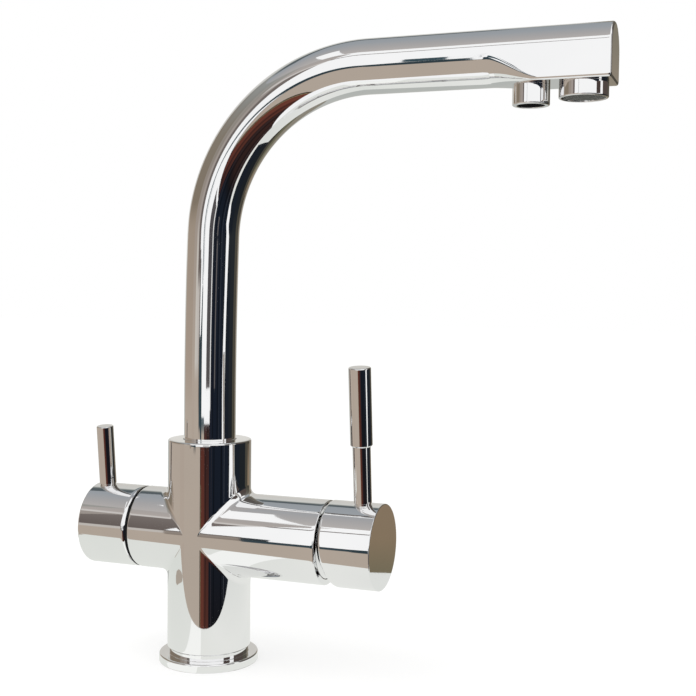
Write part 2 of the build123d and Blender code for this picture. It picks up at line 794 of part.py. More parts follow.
# Ring nut that clamps the cartridge, and the domed bonnet over it
with BuildPart() as mixer_cartridge_nut:
    with BuildSketch(across(housing_out_x)):
        Circle(nut_r)
        Circle(nut_bore_r, mode=Mode.SUBTRACT)
    extrude(amount=nut_h)
    with BuildSketch(across(housing_out_x + nut_h)):
        with PolarLocations(nut_bore_r, nut_notch_count):
            Rectangle(2 * nut_notch_depth, nut_notch_w)
    extrude(amount=-nut_notch_depth, mode=Mode.SUBTRACT)

dome_r = sqrt(nut_r**2 + (mixer_arm_end - pivot_x) ** 2)
dome_inner_r = dome_r - bonnet_wall
skirt_inner_r = nut_r - bonnet_wall


def on_dome(radius, height):
    """The point of a dome about the pivot at a height above the arm axis, in the plane beside the arms."""
    return (pivot_x + sqrt(radius**2 - height**2), height)


with BuildPart() as mixer_bonnet:
    with BuildSketch(beside()):
        with BuildLine():
            Polyline(
                on_dome(dome_inner_r, skirt_inner_r),
                (mixer_arm_end - bonnet_skirt, skirt_inner_r),
                (mixer_arm_end - bonnet_skirt, nut_r),
                (mixer_arm_end, nut_r),
            )
            middle_r = (nut_r + bonnet_hole_r) / 2
            ThreePointArc((mixer_arm_end, nut_r), on_dome(dome_r, middle_r), on_dome(dome_r, bonnet_hole_r))
            Line(on_dome(dome_r, bonnet_hole_r), on_dome(dome_inner_r, bonnet_hole_r))
            ThreePointArc(
                on_dome(dome_inner_r, bonnet_hole_r),
                on_dome(dome_inner_r, (bonnet_hole_r + skirt_inner_r) / 2),
                on_dome(dome_inner_r, skirt_inner_r),
            )
        make_face()
    revolve(axis=arm_axis)

# Mixer knob: a cup whose rim is cut away towards the bottom so that it can tip over the arm
rim_top = (mixer_arm_end + rim_gap_top, mixer_knob_r)
rim_side = (mixer_arm_end + rim_gap_side, 0)
rim_bottom = (mixer_arm_end + rim_gap_bottom, -mixer_knob_r)
with BuildPart() as mixer_knob:
    with BuildSketch(across(mixer_arm_end)):
        Circle(mixer_knob_r)
    extrude(amount=mixer_knob_end - mixer_arm_end)
    fillet(mixer_knob.edges().sort_by(Axis.X)[-1], mixer_knob_edge)
    with BuildSketch(beside(lever_turn)):
        with BuildLine():
            cut_line = ThreePointArc(rim_top, rim_side, rim_bottom)
            Polyline(
                cut_line @ 1,
                (rim_bottom[0], -mixer_knob_r - cut_overrun),
                (mixer_arm_end - cut_overrun, -mixer_knob_r - cut_overrun),
                (mixer_arm_end - cut_overrun, mixer_knob_r + cut_overrun),
                (rim_top[0], mixer_knob_r + cut_overrun),
                cut_line @ 0,
            )
        make_face()
    extrude(amount=2 * mixer_knob_r, both=True, mode=Mode.SUBTRACT)
    fillet(mixer_knob.faces().sort_by(Axis.X)[0].edges(), rim_edge)
    with BuildSketch(across(knob_floor_x)):
        Circle(knob_bore_r)
    extrude(amount=mixer_arm_end - knob_floor_x, mode=Mode.SUBTRACT)
    with BuildSketch(across(knob_floor_x, lever_turn)):
        Rectangle(stem_w + seat_gap, stem_w + seat_gap)
    extrude(amount=socket_depth, mode=Mode.SUBTRACT)
    with BuildSketch(up_lever(mixer_lever_x, mixer_knob_r + cut_overrun)):
        Circle(mixer_rod_d / 2 + stub_gap)
    extrude(amount=-lever_seat_depth - cut_overrun, mode=Mode.SUBTRACT)
    with BuildSketch(up_lever(mixer_lever_x, mixer_knob_r - lever_seat_depth)):
        Circle(lever_stud_r)
    extrude(amount=-lever_stud_l, mode=Mode.SUBTRACT)
    with BuildSketch(up_lever(mixer_screw_x, 0)):
        Circle(grub_r)
    extrude(amount=-mixer_knob_r, mode=Mode.SUBTRACT)

with BuildPart() as mixer_lever:
    with BuildSketch(up_lever(mixer_lever_x, mixer_knob_r - lever_seat_depth)):
        Circle(mixer_rod_d / 2)
    extrude(amount=mixer_grip_end - mixer_grip_cap - mixer_knob_r + lever_seat_depth)
    with BuildSketch(up_lever(mixer_lever_x, mixer_knob_r - lever_seat_depth)):
        Circle(lever_stud_r - stub_gap)
    extrude(amount=-lever_stud_l)

with BuildPart() as mixer_lever_grip:
    with BuildSketch(up_lever(mixer_lever_x, mixer_grip_start)):
        Circle(mixer_grip_d / 2)
    extrude(amount=mixer_grip_end - mixer_grip_start)
    chamfer(mixer_lever_grip.edges().sort_by(Axis.Z)[0], grip_edge)
    fillet(mixer_lever_grip.edges().filter_by(GeomType.CIRCLE).sort_by(Axis.Z)[-1], grip_edge)
    with BuildSketch(up_lever(mixer_lever_x, mixer_grip_start)):
        Circle(mixer_rod_d / 2 + stub_gap)
    extrude(amount=mixer_grip_end - mixer_grip_cap - mixer_grip_start, mode=Mode.SUBTRACT)


def set_screw(x, reach):
    """A headless screw under a knob, from the shank that it bears on outwards, with a hexagon socket."""
    with BuildPart() as screw:
        with BuildSketch(up_lever(x, -reach)):
            Circle(grub_r - stub_gap)
        extrude(amount=-set_screw_l)
        with BuildSketch(up_lever(x, -reach - set_screw_l)):
            RegularPolygon(grub_key_r, 6)
        extrude(amount=grub_key_depth, mode=Mode.SUBTRACT)
    return screw.part


with BuildPart() as mixer_set_screw:
    add(set_screw(mixer_screw_x, stem_w / 2))

# Filter valve: seal on its seat, body with side windows, two ceramic discs and the spindle
with BuildPart() as filter_valve_seal:
    with BuildSketch(across(-valve_seat_x)):
        Circle(valve_nose_r)
        Circle(valve_seal_inner_r, mode=Mode.SUBTRACT)
    extrude(amount=-valve_seal_t)

hex_in_x = filter_arm_end
with BuildPart() as filter_valve_body:
    with BuildSketch(across(-valve_nose_x)):
        Circle(valve_nose_r)
    extrude(amount=-valve_nose_l)
    with BuildSketch(across(valve_web_t - valve_disc_x)):
        Circle(valve_body_r)
    extrude(amount=valve_disc_x - valve_web_t - hex_in_x)
    with BuildSketch(across(-hex_in_x, lever_turn)):
        RegularPolygon(valve_hex_r, 6)
    extrude(amount=-valve_hex_l)
    with BuildSketch(across(-hex_in_x - valve_hex_l)):
        Circle(valve_neck_r)
    extrude(amount=-valve_neck_l)
    with BuildSketch(across(-valve_nose_x)):
        Circle(valve_seal_inner_r)
    extrude(amount=-valve_nose_l, mode=Mode.SUBTRACT)
    with BuildSketch(across(-valve_disc_x)):
        Circle(valve_bore_r)
    extrude(amount=valve_disc_x - valve_bearing_x, mode=Mode.SUBTRACT)
    with BuildSketch(across(-valve_bearing_x)):
        Circle(spindle_r + running_gap)
    extrude(amount=valve_bearing_x - valve_out_x, mode=Mode.SUBTRACT)
    with BuildSketch(Plane.XY.offset(arm_z)):
        with Locations((-valve_disc_x - valve_disc_t - valve_window_l / 2, 0)):
            Rectangle(valve_window_l, 2 * valve_body_r + cut_overrun)
    extrude(amount=valve_window_w / 2, both=True, mode=Mode.SUBTRACT)
    with BuildSketch(across(-filter_arm_end + valve_groove_setback)):
        Circle(valve_body_r + cut_overrun)
        Circle(valve_body_r - valve_o_ring_section, mode=Mode.SUBTRACT)
    extrude(amount=-valve_groove_w, mode=Mode.SUBTRACT)

valve_ring_x = filter_arm_end - valve_groove_setback + valve_groove_w / 2
with BuildPart() as filter_valve_o_ring:
    with Locations(across(-valve_ring_x)):
        Torus(valve_body_r - valve_o_ring_section / 2, valve_o_ring_section / 2)

with BuildPart() as filter_fixed_disc:
    with BuildSketch(across(-valve_disc_x)):
        Circle(valve_disc_r)
        with Locations((valve_slot_place, 0), (-valve_slot_place, 0)):
            Circle(valve_slot_r, mode=Mode.SUBTRACT)
    extrude(amount=-valve_disc_t)

with BuildPart() as filter_moving_disc:
    with BuildSketch(across(-valve_moving_x, lever_turn)):
        Circle(valve_disc_r)
        with Locations((0, valve_slot_place), (0, -valve_slot_place)):
            Circle(valve_slot_r, mode=Mode.SUBTRACT)
    extrude(amount=-valve_disc_t)

with BuildPart() as filter_spindle:
    with BuildSketch(across(-spindle_head_x)):
        Circle(valve_disc_r)
    extrude(amount=-spindle_head_l)
    with BuildSketch(across(-spindle_neck_x)):
        Circle(spindle_r)
    extrude(amount=spindle_neck_x - filter_socket_x)
    with BuildSketch(across(-filter_socket_x, lever_turn)):
        Rectangle(spindle_square_w, spindle_square_w)
    extrude(amount=seat_gap - spindle_square_l)
    with BuildSketch(across(-spindle_neck_x - spindle_ring_setback)):
        Circle(spindle_r + cut_overrun)
        Circle(spindle_r - spindle_ring_section, mode=Mode.SUBTRACT)
    extrude(amount=-spindle_groove_w, mode=Mode.SUBTRACT)

with BuildPart() as filter_spindle_o_ring:
    with Locations(across(-spindle_neck_x - spindle_ring_setback - spindle_groove_w / 2)):
        Torus(spindle_r - spindle_ring_section / 2, spindle_ring_section / 2)

with BuildPart() as filter_glide_ring:
    with BuildSketch(across(-filter_arm_end)):
        Circle(glide_ring_r)
        Circle(valve_hex_r + body_gap, mode=Mode.SUBTRACT)
    extrude(amount=-glide_ring_t)

with BuildPart() as filter_knob:
    with BuildSketch(across(-filter_rim_x)):
        Circle(filter_knob_r)
    extrude(amount=filter_rim_x - filter_knob_end)
    fillet(filter_knob.faces().sort_by(Axis.X)[-1].edges(), filter_rim_edge)
    fillet(filter_knob.faces().sort_by(Axis.X)[0].edges(), filter_knob_edge)
    with BuildSketch(across(-filter_rim_x)):
        Circle(filter_cavity_r)
    extrude(amount=-filter_cavity_l, mode=Mode.SUBTRACT)
    with BuildSketch(across(-filter_socket_x, lever_turn)):
        Rectangle(spindle_square_w + seat_gap, spindle_square_w + seat_gap)
    extrude(amount=-spindle_square_l, mode=Mode.SUBTRACT)
    with BuildSketch(up_lever(-filter_lever_x, filter_knob_r + cut_overrun)):
        Circle(filter_rod_d / 2 + stub_gap)
    extrude(amount=-lever_seat_depth - cut_overrun, mode=Mode.SUBTRACT)
    with BuildSketch(up_lever(-filter_lever_x, filter_knob_r - lever_seat_depth)):
        Circle(lever_stud_r)
    extrude(amount=-lever_stud_l, mode=Mode.SUBTRACT)
    with BuildSketch(up_lever(-filter_screw_x, 0)):
        Circle(grub_r)
    extrude(amount=-filter_knob_r, mode=Mode.SUBTRACT)

with BuildPart() as filter_lever:
    with BuildSketch(up_lever(-filter_lever_x, filter_knob_r - lever_seat_depth)):
        Circle(filter_rod_d / 2)
    extrude(amount=filter_lever_end - filter_knob_r + lever_seat_depth)
    fillet(filter_lever.edges().filter_by(GeomType.CIRCLE).sort_by(Axis.Z)[-1], filter_rod_edge)
    with BuildSketch(up_lever(-filter_lever_x, filter_knob_r)):
        Circle(filter_rod_d / 2 + cut_overrun)
        Circle(filter_rod_d / 2 - lever_neck_depth, mode=Mode.SUBTRACT)
    extrude(amount=lever_neck_h, mode=Mode.SUBTRACT)
    with BuildSketch(up_lever(-filter_lever_x, filter_knob_r - lever_seat_depth)):
        Circle(lever_stud_r - stub_gap)
    extrude(amount=-lever_stud_l)

with BuildPart() as filter_set_screw:
    add(set_screw(-filter_screw_x, spindle_square_w / 2))

pieces = {
    "body_casting": body_casting,
    "base_ring": base_ring,
    "base_gasket": base_gasket,
    "spout_retaining_screw": spout_retaining_screw,
    "mixer_cartridge_base": mixer_cartridge_base,
    "mixer_port_seals": mixer_port_seals,
    "mixer_fixed_disc": mixer_fixed_disc,
    "mixer_cartridge_housing": mixer_cartridge_housing,
    "mixer_cartridge_nut": mixer_cartridge_nut,
    "mixer_bonnet": mixer_bonnet,
    "mixer_rotor": mixer_rotor,
    "mixer_pivot_pin": mixer_pivot_pin,
    "mixer_moving_disc": mixer_moving_disc,
    "mixer_disc_carrier": mixer_disc_carrier,
    "mixer_stem": mixer_stem,
    "mixer_knob": mixer_knob,
    "mixer_lever": mixer_lever,
    "mixer_lever_grip": mixer_lever_grip,
    "mixer_set_screw": mixer_set_screw,
    "filter_valve_body": filter_valve_body,
    "filter_valve_seal": filter_valve_seal,
    "filter_valve_o_ring": filter_valve_o_ring,
    "filter_fixed_disc": filter_fixed_disc,
    "filter_glide_ring": filter_glide_ring,
    "filter_moving_disc": filter_moving_disc,
    "filter_spindle": filter_spindle,
    "filter_spindle_o_ring": filter_spindle_o_ring,
    "filter_knob": filter_knob,
    "filter_lever": filter_lever,
    "filter_set_screw": filter_set_screw,
    "spout_spigot": spout_spigot,
    "spout_o_rings": spout_o_rings,
    "spout_slide_ring": spout_slide_ring,
    "spout_tube": spout_tube,
    "spout_head": spout_head,
    "filter_pipe": filter_pipe,
    "main_aerator_housing": main_aerator_housing,
    "main_aerator_insert": main_aerator_insert,
    "main_aerator_screen": main_aerator_screen,
    "main_aerator_gasket": main_aerator_gasket,
    "filter_outlet_nozzle": filter_outlet_nozzle,
    "filter_outlet_insert": filter_outlet_insert,
    "filter_outlet_gasket": filter_outlet_gasket,
}
os.makedirs("parts", exist_ok=True)
for label, piece in pieces.items():
    piece.part.label = label
    export_step(piece.part, f"parts/{label}.step")
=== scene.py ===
"""Looks of a chrome three-way kitchen tap: column, two side arms, swivelling spout with two outlets."""

import json
import math

import bmesh
import bpy
import numpy as np
from mathutils import Matrix, Vector
from mathutils.geometry import delaunay_2d_cdt


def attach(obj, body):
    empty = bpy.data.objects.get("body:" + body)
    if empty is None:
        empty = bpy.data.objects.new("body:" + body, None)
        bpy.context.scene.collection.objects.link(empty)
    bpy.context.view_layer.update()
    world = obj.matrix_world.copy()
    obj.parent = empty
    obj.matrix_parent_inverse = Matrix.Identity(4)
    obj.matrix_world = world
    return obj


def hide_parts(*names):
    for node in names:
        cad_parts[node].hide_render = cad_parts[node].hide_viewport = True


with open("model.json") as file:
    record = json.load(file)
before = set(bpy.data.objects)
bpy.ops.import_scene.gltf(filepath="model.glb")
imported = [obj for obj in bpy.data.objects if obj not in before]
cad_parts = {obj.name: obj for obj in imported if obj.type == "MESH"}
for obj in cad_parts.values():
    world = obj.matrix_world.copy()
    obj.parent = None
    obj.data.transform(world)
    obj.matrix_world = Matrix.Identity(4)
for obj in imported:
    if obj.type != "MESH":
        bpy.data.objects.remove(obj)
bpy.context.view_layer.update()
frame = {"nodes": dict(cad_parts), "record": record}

TURN = 2 * np.pi
MM = 0.001
ORIGIN = (0, 0, 0)
ALONG = (1, 0, 0)
BACKWARD = (-1, 0, 0)
TO_FRONT = (0, -1, 0)
UPRIGHT = (0, 0, 1)
DOWN = (0, 0, -1)

# All sizes below are those of the real tap in millimetres

# Small roundings that several pieces share
TIGHT = 0.05
HAIR = 0.1
GROOVE_LIP = 0.12
FINE = 0.15
SMALL = 0.2
BROKEN = 0.25
SOFT = 0.3
LIP = 0.35

# Column
COLUMN_R = 22.6
COLUMN_TOP = 121.5
COLLAR_EDGE = 1.0
SOCKET_R = 14.4
SOCKET_FLOOR = 84.0
NECK_TOP = 8.0
FOOT_R = 17.9
FOOT_EDGE = 0.6
RETAINER_Z = 108.8
RETAINER_FLOOR_R = 14.6

# Holes in the column's underside
INLET_CIRCLE_R = 11.6
INLET_R = 4.45
INLET_DEPTH = 12.0
STUD_X = -3.0
STUD_Y = 12.0
STUD_R = 3.4
STUD_DEPTH = 16.0

# Side arms
ARM_Z = 70.3
ARM_R = 22.3
ARM_RIM = 0.6
SEAM = 4.5
MIXER_ARM_END = 70.5
MIXER_MOUTH_R = 19.0
MIXER_MOUTH_FLOOR = 56.0
MIXER_BORE_R = 17.7
MIXER_BORE_FLOOR = 34.0
FILTER_ARM_END = 38.8
FILTER_BORE_R = 11.5
FILTER_BORE_FLOOR = 22.0
ARM_AXIS = (0, 0, ARM_Z)

# Base ring
BASE_R = 27.0
BASE_H = 4.6
BASE_EDGE = 0.9
BASE_BORE_R = 18.0
BASE_TAPER = 0.2
BASE_TAPER_H = 4.0
NECK_R = 21.8

# Bonnet behind the mixer knob
BONNET_R = 18.8
BONNET_MOUTH_R = 13.6
BONNET_WALL = 1.2
BONNET_SKIRT = 3.4
BONNET_UNDER_R = (13.5, 17.5)

# Knobs
PIVOT_X = 55.93
KNOB_R = 22.5
KNOB_END = 100.5
KNOB_WALL = 2.5
KNOB_FLOOR = PIVOT_X + 26.0
KNOB_RIM_EDGE = 1.2
KNOB_EDGE = 0.4
RIM_GAP_TOP = 1.0
RIM_GAP_SIDE = 2.75
RIM_GAP_BOTTOM = 8.0
FILTER_KNOB_R = 22.3
FILTER_KNOB_START = 39.9
FILTER_KNOB_END = 69.9
FILTER_CUP_R = 16.0
FILTER_CUP_FLOOR = 47.5
FILTER_RIM_EDGE = 2.4
FILTER_EDGE = 0.6
GLIDE_R = 22.15
GLIDE_BORE_R = 14.5
GLIDE_GAP = 0.06

# Screw holes, and how far outside a piece its drill starts
SCREW_R = 2.5
SCREW_FLOOR_R = 6.0
KNOB_SCREW_X = 86.0
FILTER_SCREW_X = -52.5
DRILL_START = 3.0

# Levers: both lean towards the user, and a groove runs round each where it leaves its knob
LEVER_LEAN = math.radians(6.0)
UP = np.array([0, -math.sin(LEVER_LEAN), math.cos(LEVER_LEAN)])
GROOVE_DEPTH = 0.35
GROOVE_WIDTH = 0.95
GROOVE_START = 0.15
MIXER_LEVER_X = 90.0
MIXER_LEVER_R = 4.7
MIXER_LEVER_FOOT = 21.0
MIXER_LEVER_TOP = 60.0
GRIP_R = 5.8
GRIP_PLAY = 0.04
GRIP_START = 53.2
GRIP_END = 94.3
GRIP_CHAMFER = 0.7
GRIP_EDGE = 0.7
FILTER_LEVER_X = -62.8
FILTER_LEVER_R = 4.65
FILTER_LEVER_FOOT = 20.6
FILTER_LEVER_TOP = 55.9
FILTER_LEVER_EDGE = 0.5

# Spout
TUBE_R = 14.0
SPOUT_FOOT = 114.0
SPOUT_LEVEL = 317.3
LEAN_R = 2980.0
LEAN = math.radians(1.77)
BEND_R = 88.7
HEAD_START = 154.5
MORPH = 25.0
HEAD_END = 213.4
HEAD_CORNER = 1.6
HEAD_EDGE = 1.2
HEAD_BOTTOM = SPOUT_LEVEL - TUBE_R
FACE_DROP = 2.0

# Outlets, their heights counted down from the head's underside
OUTLET_EDGE = 0.7
AERATOR_X = 198.7
HOUSING_R = 11.9
HOUSING_H = 7.4
HOUSING_BORE_R = 8.9
HOUSING_MOUTH_R = 10.5
HOUSING_SEAT = 5.5
HOUSING_SEAT_R = 10.3
SCREEN_R = 10.15
SCREEN_PITCH = 1.15
SCREEN_WIRE_R = 0.21
SCREEN_DROP = 6.5
OUTLET_X = 173.4
NOZZLE_R = 9.1
NOZZLE_H = 9.8
NOZZLE_BORE_R = 6.8
INSERT_R = 6.7
INSERT_TOP = 4.6
INSERT_BOTTOM = 9.2
INSERT_RIM_R = 6.2
INSERT_DISH = 7.4
INSERT_DISH_R = 5.8

# Mesh steps and limits
ARC_STEPS = 8
HOLE_STEPS = 32
DRILL_STEPS = 40
SHARP_ANGLE = math.radians(32)
NEARLY_STRAIGHT = 0.9999
NEARLY_ZERO = 1e-9
WITHIN_HOLE = 0.999
NO_HOLE_POINTS_SO = (0.3, 0.5, 0.81)

# The kind of output that delaunay_2d_cdt is asked for, and its tolerance in millimetres
SHEET_OUTPUT = 3
SHEET_TOLERANCE = 1e-6

# Distances in metres below which points are merged and edges count as degenerate
MERGE_DISTANCE = 2e-6
DEGENERATE_DISTANCE = 1e-7

# Shapes


def rounded(corners, radii):
    """Profiles through corner points, shape (..., corners, 2), with arcs at the inner corners.

    At a corner P with unit directions a and b to its neighbours and half angle h between them,
    the arc's centre is P + r (a + b) / (|a + b| sin h). Its points go from the tangent point
    P + a r / tan h to P + b r / tan h by the spherical blend of the two radii. One more point
    on each side of the arc, a quarter of r away, keeps the shading of the straight runs flat.
    """
    corners = np.asarray(corners, float)
    radii = np.asarray(radii, float)[:, None]
    before = corners[..., :-2, :] - corners[..., 1:-1, :]
    after = corners[..., 2:, :] - corners[..., 1:-1, :]
    a = before / np.linalg.norm(before, axis=-1, keepdims=True)
    b = after / np.linalg.norm(after, axis=-1, keepdims=True)
    half = np.arccos(np.clip((a * b).sum(-1, keepdims=True), -NEARLY_STRAIGHT, NEARLY_STRAIGHT)) / 2
    middle = (a + b) / np.linalg.norm(a + b, axis=-1, keepdims=True)
    centre = corners[..., 1:-1, :] + middle * radii / np.sin(half)
    first = a / np.tan(half) - middle / np.sin(half)
    last = b / np.tan(half) - middle / np.sin(half)
    sweep = (np.pi - 2 * half)[..., None, :]
    share = np.linspace(0, 1, ARC_STEPS + 1)[:, None]
    arc = np.sin((1 - share) * sweep) * first[..., None, :] + np.sin(share * sweep) * last[..., None, :]
    arc = centre[..., None, :] + radii[..., None] * arc / np.sin(sweep)
    hold = 0.25 * radii
    lead = corners[..., 1:-1, :] + a * (radii / np.tan(half) + hold)
    trail = corners[..., 1:-1, :] + b * (radii / np.tan(half) + hold)
    runs = np.concatenate([lead[..., None, :], arc, trail[..., None, :]], axis=-2)
    runs = runs.reshape(corners.shape[:-2] + (-1, 2))
    return np.concatenate([corners[..., :1, :], runs, corners[..., -1:, :]], axis=-2)


def turned(profile, angles, origin, along, start):
    """Surface of revolution: point = origin + along * p + r * (start cos t + (along x start) sin t).

    The profile holds (p, r) pairs, either one line for all angles or one line per angle.
    """
    along, start = np.asarray(along, float), np.asarray(start, float)
    side = np.cross(along, start)
    profile = np.broadcast_to(profile, (len(angles),) + np.shape(profile)[-2:])
    t = np.asarray(angles)[:, None, None]
    ring = start * np.cos(t) + side * np.sin(t)
    return np.asarray(origin, float) + along * profile[..., :1] + ring * profile[..., 1:]


def circle(count):
    """Angles of a closed circle, the last one a full turn after the first."""
    return np.linspace(0, TURN, count + 1)


def quads(rows, columns):
    """Faces of a grid of rows x columns points: each cell joins its four corners."""
    index = np.arange(rows * columns).reshape(rows, columns)
    return np.stack([index[:-1, :-1], index[1:, :-1], index[1:, 1:], index[:-1, 1:]], -1).reshape(-1, 4)


def surface(name, grids, sheets=()):
    """One mesh from grids of points in millimetres and from flat sheets (points, faces).

    Points that fall together are merged, faces point outwards and only real edges stay sharp.
    """
    points, faces, count = [], [], 0
    for grid in grids:
        rows, columns = grid.shape[:2]
        points.append(grid.reshape(-1, 3))
        faces += (quads(rows, columns) + count).tolist()
        count += rows * columns
    for sheet_points, sheet_faces in sheets:
        points.append(sheet_points)
        faces += [[corner + count for corner in face] for face in sheet_faces]
        count += len(sheet_points)
    mesh = bpy.data.meshes.new(name)
    mesh.from_pydata((np.concatenate(points) * MM).tolist(), [], faces)
    work = bmesh.new()
    work.from_mesh(mesh)
    bmesh.ops.remove_doubles(work, verts=work.verts, dist=MERGE_DISTANCE)
    bmesh.ops.dissolve_degenerate(work, dist=DEGENERATE_DISTANCE, edges=work.edges)
    bmesh.ops.recalc_face_normals(work, faces=work.faces)
    work.to_mesh(mesh)
    work.free()
    mesh.shade_smooth()
    mesh.set_sharp_from_angle(angle=SHARP_ANGLE)
    piece = bpy.data.objects.new(name, mesh)
    bpy.context.scene.collection.objects.link(piece)
    return piece


def revolved(name, profile, origin, along, start, count):
    """A closed piece from one profile turned right round in count steps."""
    return surface(name, [turned(profile, circle(count), origin, along, start)])


def pierced(boundary, holes, level):
    """A level sheet inside a closed line of (x, y) points, with round holes (x, y, r)."""
    around = circle(HOLE_STEPS)[:-1, None]
    rims = [boundary]
    rims += [np.array([x, y]) + r * np.hstack([np.cos(around), np.sin(around)]) for x, y, r in holes]
    counts = [len(rim) for rim in rims]
    starts = np.concatenate([[0], np.cumsum(counts)])
    edges = [(s + k, s + (k + 1) % n) for s, n in zip(starts, counts) for k in range(n)]
    corners = [Vector(p) for p in np.concatenate(rims)]
    points, _, faces, *_ = delaunay_2d_cdt(corners, edges, [], SHEET_OUTPUT, SHEET_TOLERANCE)
    points = np.array([tuple(p) for p in points])
    middles = np.array([points[list(face)].mean(0) for face in faces])
    keep = np.ones(len(faces), bool)
    for x, y, r in holes:
        keep &= np.hypot(middles[:, 0] - x, middles[:, 1] - y) > r * WITHIN_HOLE
    placed = np.column_stack([points, np.full(len(points), level)])
    return placed, [list(face) for face, kept in zip(faces, keep) if kept]


def drilled(piece, origin, along, radius, depth):
    """Cuts a round blind hole into a closed piece, from a point outside it along a direction."""
    along = np.asarray(along, float)
    start = np.cross(along, NO_HOLE_POINTS_SO)
    start /= np.linalg.norm(start)
    profile = [(0, 0), (0, radius), (depth, radius), (depth, 0)]
    tool = revolved("drill", profile, origin, along, start, count=DRILL_STEPS)
    cut = piece.modifiers.new("hole", "BOOLEAN")
    cut.object = tool
    cut.operation = "DIFFERENCE"
    cut.solver = "EXACT"
    bpy.context.view_layer.update()
    made = bpy.data.meshes.new_from_object(piece.evaluated_get(bpy.context.evaluated_depsgraph_get()))
    piece.modifiers.clear()
    piece.data = made
    made.set_sharp_from_angle(angle=SHARP_ANGLE)
    bpy.data.objects.remove(tool)


# Materials

NOISE_LOW = 0.3
NOISE_HIGH = 0.7


def material(name, color, metallic, roughness):
    """A material with its main shader set; the caller adds the pattern."""
    made = bpy.data.materials.new(name)
    made.use_nodes = True
    shader = made.node_tree.nodes["Principled BSDF"]
    shader.inputs["Base Color"].default_value = (*color, 1)
    shader.inputs["Metallic"].default_value = metallic
    shader.inputs["Roughness"].default_value = roughness
    shader.inputs["IOR"].default_value = 1.5
    return made, shader


def pattern(made, scale, stretch=(1, 1, 1), detail=3.0):
    """Noise on object coordinates in metres, stretched along the axes: returns its factor socket."""
    nodes, links = made.node_tree.nodes, made.node_tree.links
    place = nodes.new("ShaderNodeTexCoord")
    mapping = nodes.new("ShaderNodeMapping")
    noise = nodes.new("ShaderNodeTexNoise")
    mapping.inputs["Scale"].default_value = stretch
    noise.inputs["Scale"].default_value = scale
    noise.inputs["Detail"].default_value = detail
    links.new(place.outputs["Object"], mapping.inputs["Vector"])
    links.new(mapping.outputs["Vector"], noise.inputs["Vector"])
    return noise.outputs["Fac"]


def spread(made, factor, low, high, socket):
    """Maps the noise's usual range to low..high into a shader socket."""
    span = made.node_tree.nodes.new("ShaderNodeMapRange")
    span.inputs["From Min"].default_value = NOISE_LOW
    span.inputs["From Max"].default_value = NOISE_HIGH
    span.inputs["To Min"].default_value = low
    span.inputs["To Max"].default_value = high
    made.node_tree.links.new(factor, span.inputs["Value"])
    made.node_tree.links.new(span.outputs["Result"], socket)


def tinted(made, shader, factor, low, high):
    """Mixes two close colours by a factor into the base colour."""
    ramp = made.node_tree.nodes.new("ShaderNodeValToRGB")
    for element, position, color in zip(ramp.color_ramp.elements, (NOISE_LOW, NOISE_HIGH), (low, high)):
        element.position = position
        element.color = (*color, 1)
    made.node_tree.links.new(factor, ramp.inputs["Fac"])
    made.node_tree.links.new(ramp.outputs["Color"], shader.inputs["Base Color"])


def relief(made, shader, factor, strength, distance):
    """Adds a shallow bump of a height in metres."""
    bump = made.node_tree.nodes.new("ShaderNodeBump")
    bump.inputs["Strength"].default_value = strength
    bump.inputs["Distance"].default_value = distance
    made.node_tree.links.new(factor, bump.inputs["Height"])
    made.node_tree.links.new(bump.outputs["Normal"], shader.inputs["Normal"])


def polished_chrome():
    """Mirror chrome: nearly white metal with a faint haze that varies slowly."""
    made, shader = material("polished_chrome", (0.9, 0.9, 0.905), 1.0, 0.03)
    haze = pattern(made, 60.0)
    spread(made, haze, 0.018, 0.04, shader.inputs["Roughness"])
    tinted(made, shader, pattern(made, 25.0), (0.885, 0.888, 0.895), (0.915, 0.915, 0.918))
    return made


def turned_metal(name, low, high, rough, stretch):
    """Turned or drawn metal: fine lines from stretched noise in colour, roughness and bump."""
    made, shader = material(name, high, 1.0, rough)
    lines = pattern(made, 900.0, stretch, 4.0)
    tinted(made, shader, lines, low, high)
    spread(made, lines, rough - 0.08, rough + 0.08, shader.inputs["Roughness"])
    relief(made, shader, lines, strength=0.25, distance=0.00002)
    return made


def moulded(name, low, high, rough, grain=1500.0, depth=0.00001, gloss=0.5):
    """Moulded rubber, plastic or ceramic: a fine grain in colour, roughness and bump."""
    made, shader = material(name, high, 0.0, rough)
    shader.inputs["Specular IOR Level"].default_value = gloss
    grains = pattern(made, grain, detail=5.0)
    tinted(made, shader, grains, low, high)
    spread(made, grains, rough - 0.06, rough + 0.06, shader.inputs["Roughness"])
    relief(made, shader, grains, strength=0.3, distance=depth)
    return made


FINISHES = {
    "polished_chrome": polished_chrome(),
    "bare_brass": turned_metal("bare_brass", (0.62, 0.43, 0.17), (0.78, 0.58, 0.27), 0.3, (1, 0.02, 0.02)),
    "stainless_steel": turned_metal(
        "stainless_steel", (0.45, 0.45, 0.44), (0.62, 0.61, 0.59), 0.3, (0.05, 0.05, 1)
    ),
    "screen_steel": turned_metal("screen_steel", (0.2, 0.21, 0.2), (0.46, 0.46, 0.45), 0.35, (1, 1, 1)),
    "black_rubber": moulded("black_rubber", (0.008, 0.008, 0.008), (0.02, 0.02, 0.02), 0.6, gloss=0.2),
    "black_plastic": moulded("black_plastic", (0.006, 0.006, 0.007), (0.016, 0.016, 0.017), 0.5, gloss=0.04),
    "pale_plastic": moulded("pale_plastic", (0.72, 0.72, 0.68), (0.8, 0.8, 0.77), 0.4),
    "clear_hose_plastic": moulded("clear_hose_plastic", (0.62, 0.65, 0.64), (0.72, 0.75, 0.74), 0.3),
    "valve_ceramic": moulded(
        "valve_ceramic", (0.85, 0.84, 0.79), (0.93, 0.92, 0.88), 0.12, grain=2500.0, depth=0.000004
    ),
}

